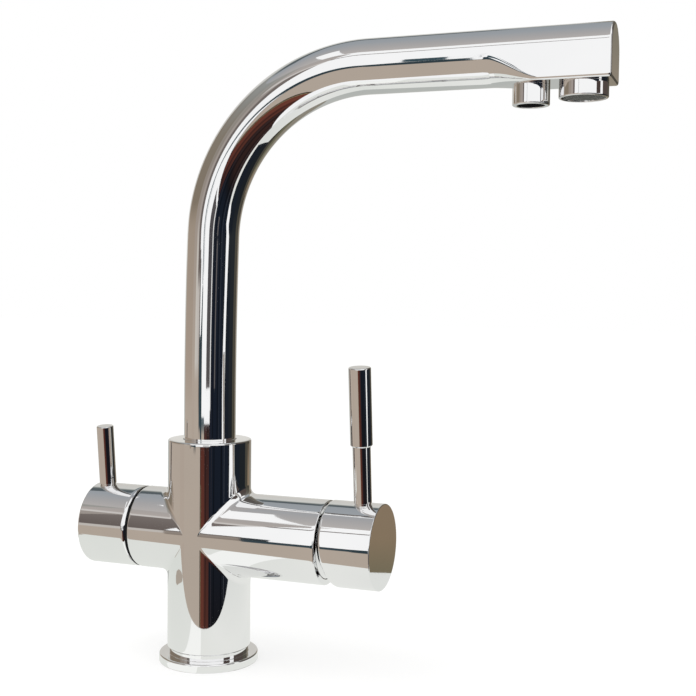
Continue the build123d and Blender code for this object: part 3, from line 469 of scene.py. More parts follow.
for part in frame["record"]["subparts"]:
    node = frame["nodes"][part["node"]]
    node.data.materials.clear()
    node.data.materials.append(FINISHES[part["material_slot"]])


def dress(piece, body, replaced, finish="polished_chrome"):
    """Gives a new piece its finish, its body and the CAD nodes that it stands for."""
    piece.data.materials.append(FINISHES[finish])
    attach(piece, body)
    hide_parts(*replaced)


# Column and side arms. One half of the column, unrolled flat round its arm's axis, is a rectangle.

HALF_WIDTH = COLUMN_R * np.pi / 2
SPAN_UP = COLUMN_TOP - COLLAR_EDGE - ARM_Z
SPAN_DOWN = ARM_Z - NECK_TOP - FOOT_EDGE


def seam_angles():
    """Angles round an arm, counted from its top, that include the corners of the column's unrolled half.

    Those lie at atan2(half width, height over or under the arm's axis). The second half turn
    mirrors the first one exactly.
    """
    top = math.atan2(HALF_WIDTH, SPAN_UP)
    bottom = np.pi - math.atan2(HALF_WIDTH, SPAN_DOWN)
    over = np.linspace(0, top, 45)[:-1]
    beside = np.linspace(top, bottom, 81)[:-1]
    under = np.linspace(bottom, np.pi, 41)
    right = np.concatenate([over, beside, under])
    return np.concatenate([right, TURN - right[-2::-1]])


def rolled_seam(t):
    """The rounding between column and arm, with its touch lines on the column and on the arm.

    A ball of the seam's radius rolls along both cylinders: its centre is at
    y = (arm r + seam) sin t, z = arm z + (arm r + seam) cos t, x = root of ((column r + seam)^2 - y^2).
    The seam blends from the direction of its touch on the column to the direction of its touch on
    the arm.
    """
    y = (ARM_R + SEAM) * np.sin(t)
    z = ARM_Z + (ARM_R + SEAM) * np.cos(t)
    x = np.sqrt((COLUMN_R + SEAM) ** 2 - y ** 2)
    centre = np.stack([x, y, z], -1)
    on_column = np.stack([x * COLUMN_R / (COLUMN_R + SEAM), y * COLUMN_R / (COLUMN_R + SEAM), z], -1)
    on_arm = np.stack([x, ARM_R * np.sin(t), ARM_Z + ARM_R * np.cos(t)], -1)
    first, last = (on_column - centre) / SEAM, (on_arm - centre) / SEAM
    sweep = np.arccos(np.clip((first * last).sum(-1), -1, 1))[:, None, None]
    share = np.linspace(0, 1, 9)[None, :, None]
    ball = np.sin((1 - share) * sweep) * first[:, None] + np.sin(share * sweep) * last[:, None]
    return centre[:, None] + SEAM * (ball / np.sin(sweep)), on_column, on_arm


def column_half(t, on_column):
    """Half of the column's skin round its arm, with the angles of its points at the collar and the foot.

    On the unrolled half the grid runs from the touch line straight out to the rectangle's border,
    and closer rows lie near the touch line. It is rolled up again by angle = width / column r.
    """
    flat = np.stack([COLUMN_R * np.arctan2(on_column[:, 1], on_column[:, 0]), on_column[:, 2] - ARM_Z], -1)
    sine, cosine = np.sin(t), np.cos(t)
    to_side = HALF_WIDTH / np.maximum(np.abs(sine), NEARLY_ZERO)
    to_end = np.where(cosine > 0, SPAN_UP, SPAN_DOWN) / np.maximum(np.abs(cosine), NEARLY_ZERO)
    reach = np.minimum(to_side, to_end)
    border = np.stack([reach * sine, reach * cosine], -1)
    share = (np.linspace(0, 1, 40) ** 1.25)[None, :, None]
    sheet = flat[:, None] * (1 - share) + border[:, None] * share
    angle = sheet[..., 0] / COLUMN_R
    skin = np.stack([COLUMN_R * np.cos(angle), COLUMN_R * np.sin(angle), sheet[..., 1] + ARM_Z], -1)
    ends = [border[np.isclose(border[:, 1], level), 0] / COLUMN_R for level in (SPAN_UP, -SPAN_DOWN)]
    return skin, [np.unique(np.round(end, 9)) for end in ends]


def stepped_bore(mouth, *steps):
    """Corners of a bore's profile from its mouth inwards, through (radius, floor) steps to the axis."""
    corners = []
    for radius, floor in steps:
        corners += [(mouth, radius), (floor, radius)]
        mouth = floor
    return corners + [(mouth, 0)]


def arm_tube(t, on_arm, end, bore):
    """The arm's skin along X from the seam to its rim, and the rim with the bore inside it."""
    share = np.linspace(0, 1, 30)[None, :]
    x = on_arm[:, :1] * (1 - share) + (end - ARM_RIM) * share
    y = np.broadcast_to(on_arm[:, 1:2], x.shape)
    z = np.broadcast_to(on_arm[:, 2:], x.shape)
    lead = 1.6 * ARM_RIM
    corners = [(end - lead, ARM_R), (end, ARM_R)] + bore
    mouth = rounded(corners, [ARM_RIM, BROKEN] + [TIGHT] * (len(bore) - 2))
    mouth = np.concatenate([[[end - ARM_RIM, ARM_R]], mouth[2:]])
    rim = turned(mouth, t, ARM_AXIS, ALONG, UPRIGHT)
    # The angles of turned run the other way round the arm
    rim[..., 1] *= -1
    return [np.stack([x, y, z], -1), rim]


def body_half(side, end, bore):
    """Grids of the column's half on one side (1 or -1) with its arm, and the angles at its two ends."""
    t = seam_angles()
    seam, on_column, on_arm = rolled_seam(t)
    skin, ends = column_half(t, on_column)
    grids = [seam, skin] + arm_tube(t, on_arm, end, bore)
    return [grid * np.array([side, 1, 1]) for grid in grids], ends


def foot_holes():
    """The three water inlets on their circle and the two stud holes: (x, y, r, depth)."""
    angles = np.radians([45, -45, 180])
    inlets = [(INLET_CIRCLE_R * np.cos(a), INLET_CIRCLE_R * np.sin(a), INLET_R, INLET_DEPTH) for a in angles]
    return inlets + [(STUD_X, y, STUD_R, STUD_DEPTH) for y in (STUD_Y, -STUD_Y)]


def column_ends(collar_half, foot_half):
    """The collar with the spout's socket, and the foot with its pierced underside.

    The first point of both profiles and the foot's last one only give the corners beside them their
    directions, and are cut off again.
    """
    lead = 3
    socket = stepped_bore(COLUMN_TOP, (SOCKET_R, SOCKET_FLOOR))
    collar = rounded(
        [(COLUMN_TOP - lead, COLUMN_R), (COLUMN_TOP, COLUMN_R)] + socket,
        [COLLAR_EDGE, BROKEN, TIGHT],
    )[2:]
    foot = rounded(
        [(NECK_TOP + lead, COLUMN_R), (NECK_TOP, COLUMN_R), (NECK_TOP, FOOT_R), (0, FOOT_R), (0, FOOT_R - 1)],
        [FOOT_EDGE, TIGHT, TIGHT],
    )[2:-2]
    collar_angles = np.concatenate([collar_half, collar_half[1:] + np.pi])
    foot_angles = np.concatenate([foot_half, foot_half[1:] + np.pi])
    grids = [turned(collar, collar_angles, ORIGIN, UPRIGHT, ALONG)]
    grids.append(turned(foot, foot_angles, ORIGIN, UPRIGHT, ALONG))
    level, radius = foot[-1]
    rim = radius * np.stack([np.cos(foot_angles[:-1]), np.sin(foot_angles[:-1])], -1)
    sheet = pierced(rim, [hole[:3] for hole in foot_holes()], level)
    for x, y, r, depth in foot_holes():
        bore = rounded([(level, r), (depth, r), (depth, 0)], [SOFT])
        grids.append(turned(bore, circle(HOLE_STEPS), (x, y, 0), UPRIGHT, ALONG))
    return grids, sheet


mixer_bore = stepped_bore(MIXER_ARM_END, (MIXER_MOUTH_R, MIXER_MOUTH_FLOOR), (MIXER_BORE_R, MIXER_BORE_FLOOR))
filter_bore = stepped_bore(FILTER_ARM_END, (FILTER_BORE_R, FILTER_BORE_FLOOR))
right_grids, end_angles = body_half(1, MIXER_ARM_END, mixer_bore)
left_grids, _ = body_half(-1, FILTER_ARM_END, filter_bore)
end_grids, underside = column_ends(*end_angles)
body = surface("column_and_arms", right_grids + left_grids + end_grids, [underside])
retainer_start = (0, COLUMN_R + DRILL_START, RETAINER_Z)
drilled(body, retainer_start, TO_FRONT, SCREW_R, DRILL_START + COLUMN_R - RETAINER_FLOOR_R)
dress(body, "tap_body", ["body_casting"])

# Base ring

base_profile = rounded(
    [
        (0, BASE_BORE_R + BASE_TAPER),
        (0, BASE_R),
        (BASE_H, BASE_R),
        (BASE_H, NECK_R),
        (NECK_TOP, NECK_R),
        (NECK_TOP, BASE_BORE_R),
        (BASE_TAPER_H, BASE_BORE_R),
        (0, BASE_BORE_R + BASE_TAPER),
    ],
    [SOFT, BASE_EDGE, BROKEN, SOFT, FINE, TIGHT],
)
dress(revolved("base_ring_skin", base_profile, ORIGIN, UPRIGHT, ALONG, count=180), "tap_body", ["base_ring"])

# Bonnet


def bonnet_profile():
    """A dome about the tilt's pivot: height h lies at pivot + root of (radius^2 - h^2)."""
    radius = math.hypot(MIXER_ARM_END - PIVOT_X, BONNET_R)
    outer = np.linspace(BONNET_R, BONNET_MOUTH_R, 14)
    inner = np.linspace(*BONNET_UNDER_R, 10)
    dome = np.stack([PIVOT_X + np.sqrt(radius ** 2 - outer ** 2), outer], -1)
    under = np.stack([PIVOT_X + np.sqrt((radius - BONNET_WALL) ** 2 - inner ** 2), inner], -1)
    foot = MIXER_ARM_END - BONNET_SKIRT
    skirt = [(foot, BONNET_R - BONNET_WALL), (foot, BONNET_R), (MIXER_ARM_END, BONNET_R)]
    return np.concatenate([dome, under, skirt])


bonnet = revolved("bonnet_ring", bonnet_profile(), ARM_AXIS, ALONG, UPRIGHT, count=120)
dress(bonnet, "tap_body", ["mixer_bonnet"])

# Mixer knob


def rim_place(height):
    """Where the knob's rim is cut, by height above the arm's axis: the circle through three gaps.

    The gaps to the arm's end are given at the top, beside and at the bottom. For the circle with
    centre (cx, ch) and radius R the rim is at cx + or - root of (R^2 - (height - ch)^2), with the
    sign of the side on which the gaps lie from the centre.
    """
    x1, h1 = MIXER_ARM_END + RIM_GAP_TOP, KNOB_R
    x2, h2 = MIXER_ARM_END + RIM_GAP_SIDE, 0.0
    x3, h3 = MIXER_ARM_END + RIM_GAP_BOTTOM, -KNOB_R
    matrix = np.array([[2 * (x2 - x1), 2 * (h2 - h1)], [2 * (x3 - x1), 2 * (h3 - h1)]])
    values = np.array([x2 ** 2 + h2 ** 2 - x1 ** 2 - h1 ** 2, x3 ** 2 + h3 ** 2 - x1 ** 2 - h1 ** 2])
    cx, ch = np.linalg.solve(matrix, values)
    radius = math.hypot(x1 - cx, h1 - ch)
    side = -1.0 if cx > x2 else 1.0
    return cx + side * np.sqrt(radius ** 2 - (height - ch) ** 2)


def knob_grid():
    """The cup: for each angle t about the arm a profile from the cup's floor over the rim to the end."""
    t = circle(240)
    bore_r = KNOB_R - KNOB_WALL
    places = [
        (KNOB_FLOOR, 0),
        (KNOB_FLOOR, bore_r),
        (rim_place(bore_r * np.cos(t)), bore_r),
        (rim_place(KNOB_R * np.cos(t)), KNOB_R),
        (KNOB_END, KNOB_R),
        (KNOB_END, 0),
    ]
    corners = np.stack([np.stack(np.broadcast_arrays(p, r, t)[:2], -1) for p, r in places], axis=1)
    return turned(rounded(corners, [SOFT, FINE, KNOB_RIM_EDGE, KNOB_EDGE]), t, ARM_AXIS, ALONG, UP)


def screw_hole(knob, x, knob_r):
    """The set screw's hole in a knob's underside, opposite to its lever."""
    start = np.array([x, 0, ARM_Z]) - UP * (knob_r + DRILL_START)
    drilled(knob, start, UP, SCREW_R, DRILL_START + knob_r - SCREW_FLOOR_R)


mixer_cup = surface("mixer_knob_cup", [knob_grid()])
screw_hole(mixer_cup, KNOB_SCREW_X, KNOB_R)
dress(mixer_cup, "mixer_handle", ["mixer_knob"])

# Mixer lever


def lever(name, x, profile):
    """A turned rod standing on a knob at x, its profile in heights above the arm's axis."""
    return revolved(name, profile, (x, 0, ARM_Z), UP, ALONG, count=96)


def rod_profile(knob_r, radius, foot, top, top_edge):
    """Heights and radii of a rod with a groove that starts just inside its knob."""
    waist = radius - GROOVE_DEPTH
    groove_foot = knob_r - GROOVE_START
    groove_top = groove_foot + GROOVE_WIDTH
    corners = [(foot, 0), (foot, radius), (groove_foot, radius), (groove_foot, waist)]
    corners += [(groove_top, waist), (groove_top, radius), (top, radius), (top, 0)]
    return rounded(corners, [HAIR, TIGHT, TIGHT, TIGHT, GROOVE_LIP, top_edge])


mixer_rod = rod_profile(KNOB_R, MIXER_LEVER_R, MIXER_LEVER_FOOT, MIXER_LEVER_TOP, HAIR)
dress(lever("mixer_lever_rod", MIXER_LEVER_X, mixer_rod), "mixer_handle", ["mixer_lever"])
grip_bore_r = MIXER_LEVER_R + GRIP_PLAY
grip_skin = rounded(
    [
        (MIXER_LEVER_TOP, grip_bore_r),
        (GRIP_START, grip_bore_r),
        (GRIP_START, GRIP_R - GRIP_CHAMFER),
        (GRIP_START + GRIP_CHAMFER, GRIP_R),
        (GRIP_END, GRIP_R),
        (GRIP_END, 0),
    ],
    [TIGHT, HAIR, FINE, GRIP_EDGE],
)
grip_profile = np.concatenate([[[MIXER_LEVER_TOP, 0]], grip_skin])
dress(lever("mixer_grip_sleeve", MIXER_LEVER_X, grip_profile), "mixer_handle", ["mixer_lever_grip"])

# Filter knob, glide ring and filter lever

filter_corners = [
    (-FILTER_CUP_FLOOR, 0),
    (-FILTER_CUP_FLOOR, FILTER_CUP_R),
    (-FILTER_KNOB_START, FILTER_CUP_R),
    (-FILTER_KNOB_START, FILTER_KNOB_R),
    (-FILTER_KNOB_END, FILTER_KNOB_R),
    (-FILTER_KNOB_END, 0),
]
filter_profile = rounded(filter_corners, [SOFT, FINE, FILTER_RIM_EDGE, FILTER_EDGE])
filter_cup = revolved("filter_knob_cup", filter_profile, ARM_AXIS, ALONG, UP, count=200)
screw_hole(filter_cup, FILTER_SCREW_X, FILTER_KNOB_R)
dress(filter_cup, "filter_handle", ["filter_knob"])

glide_start, glide_end = FILTER_ARM_END + GLIDE_GAP, FILTER_KNOB_START - GLIDE_GAP
glide_corners = [
    (glide_start, GLIDE_BORE_R),
    (glide_start, GLIDE_R),
    (glide_end, GLIDE_R),
    (glide_end, GLIDE_BORE_R),
    (glide_start, GLIDE_BORE_R),
]
glide_profile = rounded(glide_corners, [GROOVE_LIP, GROOVE_LIP, TIGHT])
glide_ring = revolved("glide_ring", glide_profile, ARM_AXIS, BACKWARD, UP, count=200)
dress(glide_ring, "tap_body", ["filter_glide_ring"], "black_plastic")

filter_rod = rod_profile(
    FILTER_KNOB_R, FILTER_LEVER_R, FILTER_LEVER_FOOT, FILTER_LEVER_TOP, FILTER_LEVER_EDGE
)
dress(lever("filter_lever_rod", FILTER_LEVER_X, filter_rod), "filter_handle", ["filter_lever"])

# Spout


def spout_line():
    """Places and slope angles along the spout.

    Straight up to the lean, an arc of the lean's radius to its angle, the bend's arc on to 90
    degrees, then level along X to the head's end. With the slope angle a the tangent is
    (sin a, cos a) and the outward direction (-cos a, sin a).
    """
    z_lean = SPOUT_LEVEL - LEAN_R * math.sin(LEAN) - BEND_R * (1 - math.sin(LEAN))
    a1 = np.linspace(0, LEAN, 12)
    a2 = np.linspace(LEAN, np.pi / 2, 110)[1:]
    x1, z1 = LEAN_R * (1 - np.cos(a1)), z_lean + LEAN_R * np.sin(a1)
    x2 = x1[-1] + BEND_R * (np.cos(LEAN) - np.cos(a2))
    z2 = z1[-1] + BEND_R * (np.sin(a2) - np.sin(LEAN))
    foot_z = SPOUT_FOOT + np.array([0, 4, 7, 10, 16, 21])
    to_head = np.linspace(x2[-1], HEAD_START, 24)[1:]
    morph = np.linspace(HEAD_START, HEAD_START + MORPH, 61)[1:]
    to_end = np.linspace(HEAD_START + MORPH, HEAD_END - HEAD_EDGE, 30)[1:]
    level_x = np.concatenate([to_head, morph, to_end])
    x = np.concatenate([0 * foot_z, x1, x2, level_x])
    z = np.concatenate([foot_z, z1, z2, np.full(len(level_x), SPOUT_LEVEL)])
    a = np.concatenate([0 * foot_z, a1, a2, np.full(len(level_x), np.pi / 2)])
    return x, z, a


def section(corner):
    """Sections with a half-round top and a bottom whose corners have a radius, for an array of radii.

    Counted from the top over the side of +Y, the tap's back: the top arc, the upright side, the
    corner's arc and half of the flat underside, then the same mirrored. Returns (outward, sideways)
    pairs.
    """
    corner = np.asarray(corner, float)[:, None]
    one = np.ones_like(corner)
    a = np.linspace(0, np.pi / 2, 41)
    top = np.stack([TUBE_R * np.cos(a) * one, TUBE_R * np.sin(a) * one], -1)
    s = np.linspace(0, 1, 9)[1:-1]
    side = np.stack([-(TUBE_R - corner) * s, TUBE_R * np.ones_like(s) * one], -1)
    b = np.linspace(0, np.pi / 2, 33)
    arc = np.stack([-(TUBE_R - corner) - corner * np.sin(b), (TUBE_R - corner) + corner * np.cos(b)], -1)
    s = np.linspace(1, 0, 10)[1:]
    under = np.stack([-TUBE_R * np.ones_like(s) * one, (TUBE_R - corner) * s], -1)
    half = np.concatenate([top, side, arc, under], axis=1)
    return np.concatenate([half, half[:, -2::-1] * np.array([1, -1])], axis=1)


def spout_grid():
    """The swept spout: place + outward * u + Y * v, the section's corner shrinking along the head.

    With t from 0 to 1 over the morph the corner has gone the share
    (1 - (1 - t)^1.22) / 2 + t^2 (3 - 2 t) / 2 of its way from the tube's radius to the head's corner.
    The end's rounding shrinks the last section by edge (1 - cos e) while it moves on by edge sin e,
    and the end face and the foot run together in one point each.
    """
    x, z, a = spout_line()
    t = np.clip((x - HEAD_START) / MORPH, 0, 1)
    share = 0.5 * (1 - (1 - t) ** 1.22) + 0.5 * t ** 2 * (3 - 2 * t)
    corner = TUBE_R * (1 - share) + HEAD_CORNER * share
    shape = section(np.clip(corner, HEAD_CORNER, 0.9995 * TUBE_R))
    u, v = shape[..., 0], shape[..., 1]
    grid = np.stack([x[:, None] - u * np.cos(a)[:, None], v, z[:, None] + u * np.sin(a)[:, None]], -1)

    e = np.linspace(0, np.pi / 2, 9)[1:, None]
    shrink = (TUBE_R - HEAD_EDGE * (1 - np.cos(e))) / TUBE_R
    cap_u, cap_v = shape[-1:, :, 0] * shrink, shape[-1:, :, 1] * shrink
    cap_x = np.broadcast_to(HEAD_END - HEAD_EDGE + HEAD_EDGE * np.sin(e), cap_u.shape)
    cap = np.stack([cap_x, cap_v, SPOUT_LEVEL + cap_u], -1)

    face_centre = np.array([HEAD_END, 0, SPOUT_LEVEL - FACE_DROP])
    foot_centre = np.array([0, 0, SPOUT_FOOT])
    face = face_centre + (cap[-1:] - face_centre) * np.array([0.985, 0.5, 0.0])[:, None, None]
    foot = foot_centre + (grid[:1] - foot_centre) * np.array([0.0, 0.9])[:, None, None]
    return np.concatenate([foot, grid, cap, face])


dress(surface("spout_and_head", [spout_grid()]), "spout", ["spout_tube", "spout_head"])

# Outlets

housing_corners = [
    (0, HOUSING_BORE_R),
    (0, HOUSING_R),
    (HOUSING_H, HOUSING_R),
    (HOUSING_H, HOUSING_MOUTH_R),
    (HOUSING_SEAT, HOUSING_SEAT_R),
    (HOUSING_SEAT, HOUSING_BORE_R),
    (0, HOUSING_BORE_R),
]
housing_profile = rounded(housing_corners, [FINE, OUTLET_EDGE, LIP, HAIR, TIGHT])
housing = revolved("aerator_housing", housing_profile, (AERATOR_X, 0, HEAD_BOTTOM), DOWN, ALONG, count=120)
dress(housing, "spout", ["main_aerator_housing"])

nozzle_corners = [
    (0, NOZZLE_BORE_R),
    (0, NOZZLE_R),
    (NOZZLE_H, NOZZLE_R),
    (NOZZLE_H, NOZZLE_BORE_R),
    (0, NOZZLE_BORE_R),
]
nozzle_profile = rounded(nozzle_corners, [FINE, OUTLET_EDGE, LIP])
nozzle = revolved("filter_nozzle", nozzle_profile, (OUTLET_X, 0, HEAD_BOTTOM), DOWN, ALONG, count=100)
dress(nozzle, "spout", ["filter_outlet_nozzle"])

# The dished insert stands for one with nine water holes, which this piece doesn't have. It is black plastic
# instead of the pale plastic of its CAD part: painted shade inside the nozzle.
insert_corners = [
    (INSERT_TOP, 0),
    (INSERT_TOP, INSERT_R),
    (INSERT_BOTTOM, INSERT_R),
    (INSERT_BOTTOM, INSERT_RIM_R),
    (INSERT_DISH, INSERT_DISH_R),
    (INSERT_DISH, 0),
]
insert_profile = rounded(insert_corners, [SMALL, FINE, FINE, SOFT])
insert = revolved("outlet_insert", insert_profile, (OUTLET_X, 0, HEAD_BOTTOM), DOWN, ALONG, count=80)
dress(insert, "spout", ["filter_outlet_insert"], "black_plastic")


def woven():
    """A round screen of two sets of waved wires at right angles.

    Wire k lies at k * pitch and has the height wire r * cos(pi s / pitch + pi k) at the place s along
    it. Both sets have the same height where they cross, so the wires run through one another there.
    """
    outermost = int(SCREEN_R / SCREEN_PITCH)
    steps_a_pitch = 8
    level = HEAD_BOTTOM - SCREEN_DROP
    ring = np.linspace(0, TURN, 6)[None, :]
    grids = []
    for along_y in (False, True):
        for k in range(-outermost, outermost + 1):
            half = math.sqrt(SCREEN_R ** 2 - (k * SCREEN_PITCH) ** 2)
            s = np.linspace(-half, half, max(int(half / SCREEN_PITCH * steps_a_pitch), steps_a_pitch))
            lift = SCREEN_WIRE_R * np.cos(np.pi * s / SCREEN_PITCH + np.pi * k)
            across = k * SCREEN_PITCH + SCREEN_WIRE_R * np.cos(ring) + 0 * s[:, None]
            height = level + lift[:, None] + SCREEN_WIRE_R * np.sin(ring)
            run = np.broadcast_to(s[:, None], across.shape)
            x, y = (across, run) if along_y else (run, across)
            grid = np.stack([x + AERATOR_X, y, height], -1)
            first, last = (end.mean(1, keepdims=True) + 0 * end for end in (grid[:1], grid[-1:]))
            grids.append(np.concatenate([first, grid, last]))
    return surface("aerator_screen", grids)


dress(woven(), "spout", ["main_aerator_screen"], "screen_steel")

# Stage

WALL_R = 3000.0
STREAK_R = 2950.0
EYE_LEVEL = 120.0
CEILING_Z = 3100.0
UNDER_CEILING = CEILING_Z - 10
BOARD_Z = 0.2
ON_BOARD = 0.3
WALL_STEPS = 24

# Display colours, 0..255, that several walls share
TAUPE = (182, 169, 156)
DARK = (28, 33, 41)
PALE = (235, 235, 230)
CORNICE = (208, 203, 199)
OVER_CORNICE = (178, 170, 165)
CURTAIN_TOP = (172, 167, 164)
TEAL = (50, 64, 70)
GREY_SILL = (84, 98, 104)
LINE_BROWN = (40, 34, 32)
SILL_DARK = (40, 44, 48)
SILL_BROWN = (84, 74, 70)
DIM_BROWN = (80, 72, 68)
GREY_TOP = (100, 98, 95)


def glow(name, color):
    """A material that only gives its own light: returns it with its light node."""
    made = bpy.data.materials.new(name)
    made.use_nodes = True
    nodes, links = made.node_tree.nodes, made.node_tree.links
    nodes.clear()
    light = nodes.new("ShaderNodeEmission")
    light.inputs["Color"].default_value = (*color, 1)
    out = nodes.new("ShaderNodeOutputMaterial")
    links.new(light.outputs["Emission"], out.inputs["Surface"])
    return made, light


def linear(red, green, blue):
    """A colour from 0..255 display values: ((c + 0.055) / 1.055)^2.4 above 0.04045, c / 12.92 below."""
    c = np.array([red, green, blue]) / 255
    return tuple(np.where(c > 0.04045, ((c + 0.055) / 1.055) ** 2.4, c / 12.92))


def shown_to_mirrors(piece):
    """A stage card: seen in the chrome only, not by the camera, soft light or shadows."""
    piece.visible_camera = False
    piece.visible_diffuse = False
    piece.visible_shadow = False


def graded(name, axis, stops):
    """A glowing material whose display colour runs along an axis through (millimetres, colour) stops."""
    made, light = glow(name, (1, 1, 1))
    nodes, links = made.node_tree.nodes, made.node_tree.links
    low, high = stops[0][0], stops[-1][0]
    place = nodes.new("ShaderNodeTexCoord")
    parts = nodes.new("ShaderNodeSeparateXYZ")
    span = nodes.new("ShaderNodeMapRange")
    span.inputs["From Min"].default_value = low * MM
    span.inputs["From Max"].default_value = high * MM
    ramp = nodes.new("ShaderNodeValToRGB")
    elements = ramp.color_ramp.elements
    while len(elements) < len(stops):
        elements.new(0.5)
    for element, (height, color) in zip(elements, stops):
        element.position = (height - low) / (high - low)
        element.color = (*linear(*color), 1)
    links.new(place.outputs["Object"], parts.inputs["Vector"])
    links.new(parts.outputs[axis], span.inputs["Value"])
    links.new(span.outputs["Result"], ramp.inputs["Fac"])
    links.new(ramp.outputs["Color"], light.inputs["Color"])
    return made


def wall(name, azimuths, *stops, radius=WALL_R):
    """A stretch of room wall on a circle about the tap, its colour running through (elevation, colour) stops.

    Azimuth is counted from the front (-Y) towards +X, elevation from the level of the tap's middle, both in
    degrees: the point is (R sin az, -R cos az, eye level + R tan el). A stop may bring azimuths of its own,
    for a stretch whose edges lean.
    """
    spans = np.radians([stop[2] if len(stop) > 2 else azimuths for stop in stops])
    az = spans[:, 0] + (spans[:, 1] - spans[:, 0]) * np.linspace(0, 1, WALL_STEPS + 1)[:, None]
    heights = EYE_LEVEL + radius * np.tan(np.radians([stop[0] for stop in stops]))
    grid = np.stack([radius * np.sin(az), -radius * np.cos(az), heights + 0 * az], -1)
    piece = surface(name, [grid])
    piece.data.materials.append(graded(name, "Z", [(z, stop[1]) for z, stop in zip(heights, stops)]))
    shown_to_mirrors(piece)


def level_card(name, outline, height, finish):
    """A level card through (x, y) corners in millimetres."""
    points = np.array([(x, y, height) for x, y in outline], float)
    piece = surface(name, [], [(points, [list(range(len(points)))])])
    piece.data.materials.append(finish)
    shown_to_mirrors(piece)


def plain(color):
    """A glowing material of one display colour."""
    return glow("plain_card", linear(*color))[0]


# The room that the chrome shows, from the left over the front
wall("left_wall", (-122, -62), (-60, TAUPE), (-6, TAUPE), (-3, (172, 156, 142)), (8, (160, 146, 131)),
     (13, (133, 121, 106)), (28, (134, 125, 112)), (38, (142, 141, 136)), (45, (152, 154, 151)))
wall("left_pier", (-62, -47), (-60, TAUPE), (-3, (180, 166, 153)), (10, (158, 147, 138)),
     (20, (146, 137, 128)), (46, (160, 160, 156)))
wall("curtain", (-47, -37.5), (-60, TAUPE), (-3.4, TAUPE), (-3, (204, 198, 190)), (4, (200, 194, 186)),
     (8, (166, 156, 149)), (31, (160, 152, 146)), (31.6, CORNICE), (34, CORNICE), (36, OVER_CORNICE),
     (46, CURTAIN_TOP))
wall("curtain_fold", (-37.5, -29), (-60, TAUPE), (-3.4, TAUPE), (-3, (196, 190, 184)), (2, (196, 190, 184)),
     (2.6, (106, 97, 93)), (31, (122, 114, 110)), (31.6, CORNICE), (34, CORNICE), (36, OVER_CORNICE),
     (46, CURTAIN_TOP))
wall("cabinet", (-29, -24.5), (-60, TAUPE), (-6, TAUPE), (-5, (140, 128, 118)), (1, (150, 140, 132)),
     (3, (110, 100, 94)), (4, (90, 92, 94)))
wall("front_edge", (-24.5, -18), (-60, TAUPE), (-7, TAUPE), (-6.6, (62, 76, 82)), (-1.2, (52, 64, 70)))
wall("window_frame", (-24.5, -22.8), (-1.2, (52, 58, 62)), (3.4, (60, 66, 70)))
wall("front_mid", (-18, -11.5), (-60, TAUPE), (-8, TAUPE), (-7.6, TEAL), (-1.2, TEAL),
     (1.6, (56, 70, 76), (-14.5, -11.3)))
wall("front_low", (-11.5, 0.6), (-60, TAUPE), (-7, TAUPE), (-6.6, GREY_SILL), (-6, GREY_SILL))
wall("dark_line", (0.6, 2), (-60, LINE_BROWN), (-6.4, LINE_BROWN))
wall("brown_left", (2, 12), (-60, (112, 64, 52)), (-20, (104, 58, 47)), (-8, (92, 50, 42)),
     (-6.4, (60, 50, 50)))
wall("brown_right", (12, 25), (-60, (92, 52, 43)), (-20, (84, 48, 40)), (-8, (60, 38, 36)),
     (-6.4, (52, 42, 42)))
wall("dark_post", (8.5, 25), (-4.4, (88, 84, 84)), (4, (74, 72, 76)))
wall("navy", (25, 76), (-60, (60, 40, 36)), (-26, (46, 32, 30)), (-18, (24, 24, 28)), (-12, (24, 30, 40)),
     (0, (26, 32, 44)), (4, (34, 38, 46)))

# The right side, whose stretches have leaning edges with a pale gap between them
wall("side_left", (76, 82), (-60, DARK, (76, 76.5)), (-24, DARK, (76, 77.5)), (-14, DARK, (76, 81)),
     (-8, DARK, (76, 82)), (-4, DARK, (76, 81.5)), (-2, DARK, (76, 84)), (0, DARK, (76, 86)),
     (4, DARK, (76, 87)))
wall("side_gap", (76, 90), (-60, PALE, (76.5, 88)), (-24, PALE, (77.5, 88.5)), (-14.2, PALE, (81, 89.5)))
wall("side_right", (88, 117), (-60, DARK, (88, 117)), (-24, DARK, (88.5, 117)), (-14, DARK, (89.5, 117)),
     (-10, DARK, (94, 117)), (-7, DARK, (94.5, 117)), (-4, DARK, (94, 117)), (-1, DARK, (96.5, 117)),
     (2, (38, 42, 46), (100, 117)), (4, SILL_DARK, (101, 117)), (7, SILL_BROWN, (103, 117)),
     (30, DIM_BROWN, (104, 117)), (60, GREY_TOP, (104, 117)))
wall("side_high", (70, 90), (8, (72, 60, 57)), (30, DIM_BROWN), (45, (110, 105, 100)))

# Narrow upright streaks in front of the walls: azimuths, elevations, colour
for azimuths, elevations, color in (
    ((2.5, 3.2), (-60, -10), (140, 144, 110)),
    ((15.5, 17), (-60, -6.4), (38, 26, 26)),
    ((30.5, 31.6), (-60, 3), (54, 50, 56)),
    ((37, 39.5), (-60, 3), (14, 17, 22)),
    ((43.5, 48), (-4.5, 2.5), (98, 94, 94)),
    ((57, 60), (-60, 3), (13, 16, 21)),
    ((66, 67), (-60, 3), (72, 76, 82)),
    ((-10.8, -9.6), (2.2, 14), (96, 104, 110)),
    ((-15.4, -12.8), (1.8, 11), (58, 78, 86)),
    ((24.5, 28), (-5.6, 5), (236, 236, 234)),
):
    wall("streak", azimuths, *[(elevation, color) for elevation in elevations], radius=STREAK_R)

